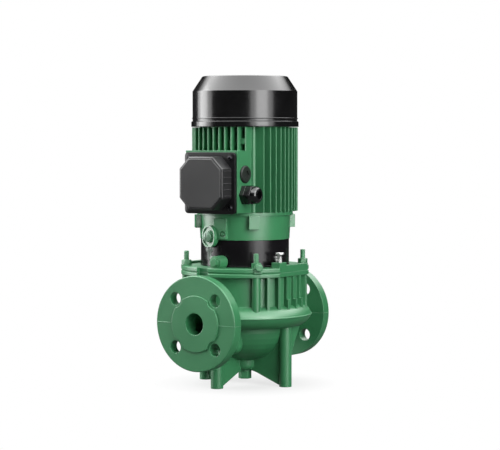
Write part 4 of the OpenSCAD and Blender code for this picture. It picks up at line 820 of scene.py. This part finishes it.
studs = {
    "copies": 4, "circleRadius": 89.0, "firstAngle": 45,
    "low": 152.0, "threadFrom": 186.0, "top": 201.0, "radius": 4.0, "rootRadius": 3.42, "pitch": 1.25,
    "plateTop": 179.0, "washerRadius": 8.0, "washerBore": 4.2, "washerThickness": 1.6,
    "nutFlats": 13.0, "nutHeight": 7.0, "nutClearance": 0.03,
}
jacks = {
    "places": ((-27.0, -80.5), (27.0, 80.5)), "lugTop": 187.0, "radius": 3.3, "rootRadius": 2.8,
    "pitch": 1.0, "threadLength": 11.0, "underLug": 12.0, "threadUnderLug": 1.0, "intoHead": 0.5,
    "headRadius": 6.5, "headHeight": 3.5,
}


# Rod whose upper part carries a real helical thread, with a chamfered end
def threadedRod(radius, root, pitch, low, start, top, steps=32):
    angles = [2 * math.pi * k / steps for k in range(steps)]
    rings = [[(0, 0, low)], [(radius * math.cos(a), radius * math.sin(a), low) for a in angles],
             [(radius * math.cos(a), radius * math.sin(a), start) for a in angles]]
    count = int((top - 0.8 - start) / (pitch / 6))
    for i in range(1, count + 1):
        z = start + i * pitch / 6
        fade = min(1.0, i / 4)
        ring = []
        for a in angles:
            phase = (z / pitch - a / (2 * math.pi)) % 1.0
            depth = min(1.0, abs(2 * phase - 1) * 1.35) ** 1.1
            r = radius - (radius - root) * depth * fade
            ring.append((r * math.cos(a), r * math.sin(a), z))
        rings.append(ring)
    rings.append([((root - 0.1) * math.cos(a), (root - 0.1) * math.sin(a), top - 0.1) for a in angles])
    rings.append([((root - 0.7) * math.cos(a), (root - 0.7) * math.sin(a), top) for a in angles])
    rings.append([(0, 0, top)])
    return loftRings(rings)


# Hexagon nut whose chamfers leave the curved edges of a real one
def nutShape(flats, height, bore, base, steps=72):
    rings = [[], [], [], [], [], []]
    lip = 0.475 * flats
    for k in range(steps):
        a = 2 * math.pi * k / steps
        reach = flats / 2 / math.cos(a % (math.pi / 3) - math.pi / 6)
        drop = (reach - lip) * math.tan(math.radians(30))
        rows = ((bore, base + 0.4), (lip, base), (reach, base + drop), (reach, base + height - drop),
                (lip, base + height), (bore, base + height - 0.4))
        for ring, (r, z) in zip(rings, rows):
            ring.append((r * math.cos(a), r * math.sin(a), z))
    return loftRings(rings, True)


def buildFasteners(spec, jackSpec):
    rod = threadedRod(spec["radius"], spec["rootRadius"], spec["pitch"], spec["low"], spec["threadFrom"],
                      spec["top"])
    piece = copyRound("coverStuds", makeObject("studMaster", rod, "castingGreen"), spec, "castingGreen")
    settle(piece, "pump", "casing_paint", "cover_studs")
    z, t, r, bore = spec["plateTop"], spec["washerThickness"], spec["washerRadius"], spec["washerBore"]
    ring = filletLoop([(bore, z, 0.1), (r, z, 0.2), (r, z + t, 0.4), (bore, z + t, 0.2)], True, 3)
    piece = copyRound("coverWashers", makeObject("washerMaster", latheShape(ring, 56), "castingGreen"), spec,
                      "castingGreen")
    settle(piece, "pump", "casing_paint", "cover_washers")
    nut = nutShape(spec["nutFlats"], spec["nutHeight"], spec["radius"] + spec["nutClearance"], z + t)
    piece = copyRound("coverNuts", makeObject("nutMaster", nut, "castingGreen"), spec, "castingGreen")
    settle(piece, "pump", "casing_paint", "cover_nuts")

    top = jackSpec["lugTop"] + jackSpec["threadLength"]
    rod = threadedRod(jackSpec["radius"], jackSpec["rootRadius"], jackSpec["pitch"],
                      jackSpec["lugTop"] - jackSpec["underLug"],
                      jackSpec["lugTop"] - jackSpec["threadUnderLug"], top + jackSpec["intoHead"], 28)
    r, h = jackSpec["headRadius"], jackSpec["headHeight"]
    head = latheShape(filletLoop([(0, top, 0), (r - 0.6, top, 0.3), (r, top + 0.6, 0.4), (r, top + h, 0.9),
                                  (3.0, top + h, 0.3), (2.7, top + h - 2.0, 0.3), (0, top + h - 2.2, 0)],
                                 False, 4), 56, False)
    shapes = []
    for x, y in jackSpec["places"]:
        for verts, faces in (rod, head):
            shapes.append(([Vector(v) + Vector((x, y, 0)) for v in verts], faces))
    piece = makeObject("jackingScrews", joinShapes(*shapes), "zincSteel")
    settle(piece, "pump", "zinc_steel", "jacking_screws")


buildFasteners(studs, jacks)
print("fasteners built")


# Mould parting line: a fine raised flash across both pipe flanges at the height of the pipe axis

seams = {
    "height": 100.0, "proud": 0.35, "sunk": 0.3, "halfWidth": 0.45,
    "path": [   # distance along the pipe, distance across, outward direction of the flash
        (128.0, 40.6, (1, 0)), (128.0, 69.0, (1, 0)), (127.6, 69.6, (0.7, 0.7)), (126.6, 70.0, (0, 1)),
        (113.0, 70.0, (0, 1)), (112.0, 69.4, (-0.7, 0.7)), (112.0, 68.6, (-1, 0)), (112.0, 28.0, (-1, 0))],
}


def buildSeams(spec):
    shapes = []
    for side in (-1, 1):
        for hand in (-1, 1):
            rings = []
            for along, across, (ox, oy) in spec["path"]:
                out = Vector((side * ox, hand * oy, 0)).normalized()
                at = Vector((side * along, hand * across, spec["height"]))
                up = Vector((0, 0, spec["halfWidth"]))
                inner, foot, crest = at - out * spec["sunk"], at + out * 0.02, at + out * spec["proud"]
                rings.append([inner - up, foot - up, crest - up * 0.25, crest + up * 0.25, foot + up,
                              inner + up])
            shapes.append(loftRings(rings, caps=True))
    settle(makeObject("castingSeams", joinShapes(*shapes), "castingGreen"), "pump", "casing_paint")


buildSeams(seams)
print("casting seams built")


# Vent line: a bent tube with a union nut at each end

ventLine = {
    "x": -78.0, "y": 9.5, "low": 192.0, "top": 209.5, "end": -1.5, "bend": 4.5, "straight": 4.0,
    "radius": 2.8, "nutFlats": 9.0, "nutHeight": 4.6, "upperNutDrop": 7.2, "lowerNutY": 2.2,
}


def buildVentLine(spec):
    x, y, z, b = spec["x"], spec["y"], spec["low"], spec["bend"]
    path = [(x, y, spec["top"]), (x, y, z + b + spec["straight"])]
    path += [(x, y - b + b * math.cos(t), z + b - b * math.sin(t))
             for t in (math.pi / 2 * k / 8 for k in range(9))]
    path += [(x, spec["end"], z)]
    outline = [(spec["radius"] * math.cos(t), spec["radius"] * math.sin(t))
               for t in (2 * math.pi * k / 20 for k in range(20))]
    tube = sweepShape(path, outline, (1, 0, 0))
    nut = nutShape(spec["nutFlats"], spec["nutHeight"], spec["radius"], 0.0, 48)
    high = [Vector(v) + Vector((x, y, spec["top"] - spec["upperNutDrop"])) for v in nut[0]]
    turned = Matrix.Translation((x, spec["lowerNutY"], z)) @ Matrix.Rotation(-math.pi / 2, 4, "X")
    low = [turned @ Vector(v) for v in nut[0]]
    piece = makeObject("ventLine", joinShapes(tube, (high, nut[1]), (low, nut[1])), "tubeSteel")
    settle(piece, "pump", "zinc_steel", "vent_pipe")


buildVentLine(ventLine)
print("vent line built")


# Studio: floor, world and lamps. A soft box with a brighter core stands on each side, one fills from
# behind and one lies overhead. Reflections see a bright sky of their own, which lights nothing

studio = {
    "floorSize": 9.0, "floorHeight": -0.0005,
    "floorColour": 0.12, "floorSeen": 0.5,
    "glowNear": 0.74, "glowFar": 1.0, "glowFrom": 0.05, "glowTo": 0.14,
    "worldLight": 0.03, "worldLow": 0.02, "domeBright": 7.4, "domeFrom": 0.42, "domeTo": 0.66,
    "domeFade": 2.7, "fadeFrom": 0.72,
    "lamps": [   # name, azimuth, distance, height of the middle, width, height, power, mirrored
        ("rightWide", 251.5, 2.15, 1.05, 2.1, 2.1, 50, True),
        ("rightCore", 251.5, 2.12, 1.05, 1.0, 2.1, 41, True),
        ("leftWide", 114, 2.15, 1.05, 1.9, 2.1, 50, True),
        ("leftCore", 113, 2.12, 1.05, 0.92, 2.1, 40, True),
        ("rearFill", 32, 2.3, 1.05, 1.6, 2.1, 34, False),
    ],
    "top": {"place": (-0.75, 0.35, 2.0), "aim": (0, 0, 0.4), "size": 1.3, "power": 22},
}


def addLamp(name, place, aim, width, height, power, mirrored):
    data = bpy.data.lights.new(name, "AREA")
    data.shape = "RECTANGLE"
    data.size, data.size_y = width, height
    data.energy = power
    lamp = bpy.data.objects.new(name, data)
    lamp.location = place
    lamp.rotation_euler = (Vector(aim) - Vector(place)).to_track_quat("-Z", "Y").to_euler()
    lamp.visible_camera = False
    lamp.visible_glossy = mirrored
    bpy.context.scene.collection.objects.link(lamp)


def makeFloor(spec):
    s = spec["floorSize"] / 2
    mesh = bpy.data.meshes.new("studioFloor")
    corners = [(-s, -s), (s, -s), (s, s), (-s, s)]
    mesh.from_pydata([(x, y, spec["floorHeight"]) for x, y in corners], [], [(0, 1, 2, 3)])
    floor = bpy.data.objects.new("studioFloor", mesh)
    bpy.context.scene.collection.objects.link(floor)
    mat = bpy.data.materials.new("studioFloor")
    mat.use_nodes = True
    tree = mat.node_tree
    tree.nodes.clear()
    out = tree.nodes.new("ShaderNodeOutputMaterial")
    paper = tree.nodes.new("ShaderNodeBsdfDiffuse")
    glow = tree.nodes.new("ShaderNodeEmission")
    mix = tree.nodes.new("ShaderNodeMixShader")
    path = tree.nodes.new("ShaderNodeLightPath")
    tree.links.new(rangeNode(tree, path.outputs["Is Camera Ray"], 0.0, 1.0, spec["floorColour"],
                             spec["floorSeen"]), paper.inputs["Color"])
    coord = tree.nodes.new("ShaderNodeTexCoord").outputs["Object"]
    away = tree.nodes.new("ShaderNodeVectorMath")
    away.operation = "LENGTH"
    tree.links.new(coord, away.inputs[0])
    near = rangeNode(tree, away.outputs["Value"], spec["glowFrom"], spec["glowTo"], spec["glowNear"],
                     spec["glowFar"])
    tree.links.new(mathNode(tree, "MULTIPLY", path.outputs["Is Camera Ray"], near), mix.inputs["Fac"])
    tree.links.new(paper.outputs[0], mix.inputs[1])
    tree.links.new(glow.outputs[0], mix.inputs[2])
    tree.links.new(mix.outputs[0], out.inputs[0])
    mesh.materials.append(mat)


def makeWorld(spec):
    world = bpy.data.worlds.new("studioWorld")
    bpy.context.scene.world = world
    world.use_nodes = True
    tree = world.node_tree
    tree.nodes.clear()
    out = tree.nodes.new("ShaderNodeOutputWorld")
    light = tree.nodes.new("ShaderNodeBackground")
    light.inputs["Strength"].default_value = spec["worldLight"]
    backdrop = tree.nodes.new("ShaderNodeBackground")
    for sky in (light, backdrop):
        sky.inputs["Color"].default_value = (1, 1, 1, 1)
    sep = tree.nodes.new("ShaderNodeSeparateXYZ")
    tree.links.new(tree.nodes.new("ShaderNodeTexCoord").outputs["Generated"], sep.inputs[0])
    path = tree.nodes.new("ShaderNodeLightPath")
    rise = rangeNode(tree, sep.outputs["Z"], spec["domeFrom"], spec["domeTo"], spec["worldLow"],
                     spec["domeBright"])
    fade = rangeNode(tree, sep.outputs["Z"], spec["fadeFrom"], 1.0, 0.0, spec["domeFade"])
    dome = mathNode(tree, "SUBTRACT", rise, fade)
    strength = tree.nodes.new("ShaderNodeMix")
    tree.links.new(path.outputs["Is Camera Ray"], strength.inputs[0])
    tree.links.new(dome, strength.inputs[2])
    strength.inputs[3].default_value = 1.0
    tree.links.new(strength.outputs[0], backdrop.inputs["Strength"])
    seen = mathNode(tree, "MAXIMUM", path.outputs["Is Camera Ray"],
                    mathNode(tree, "MAXIMUM", path.outputs["Is Glossy Ray"],
                             path.outputs["Is Transmission Ray"]))
    mix = tree.nodes.new("ShaderNodeMixShader")
    tree.links.new(seen, mix.inputs[0])
    tree.links.new(light.outputs[0], mix.inputs[1])
    tree.links.new(backdrop.outputs[0], mix.inputs[2])
    tree.links.new(mix.outputs[0], out.inputs[0])


def makeStudio(spec):
    makeFloor(spec)
    makeWorld(spec)
    for name, azimuth, distance, middle, width, height, power, mirrored in spec["lamps"]:
        a = math.radians(azimuth)
        addLamp(name, (distance * math.cos(a), distance * math.sin(a), middle), (0, 0, middle - 0.2),
                width, height, power, mirrored)
    top = spec["top"]
    addLamp("topSoft", top["place"], top["aim"], top["size"], top["size"], top["power"], False)


makeStudio(studio)
bpy.context.scene.view_settings.view_transform = "Standard"
print("studio set")
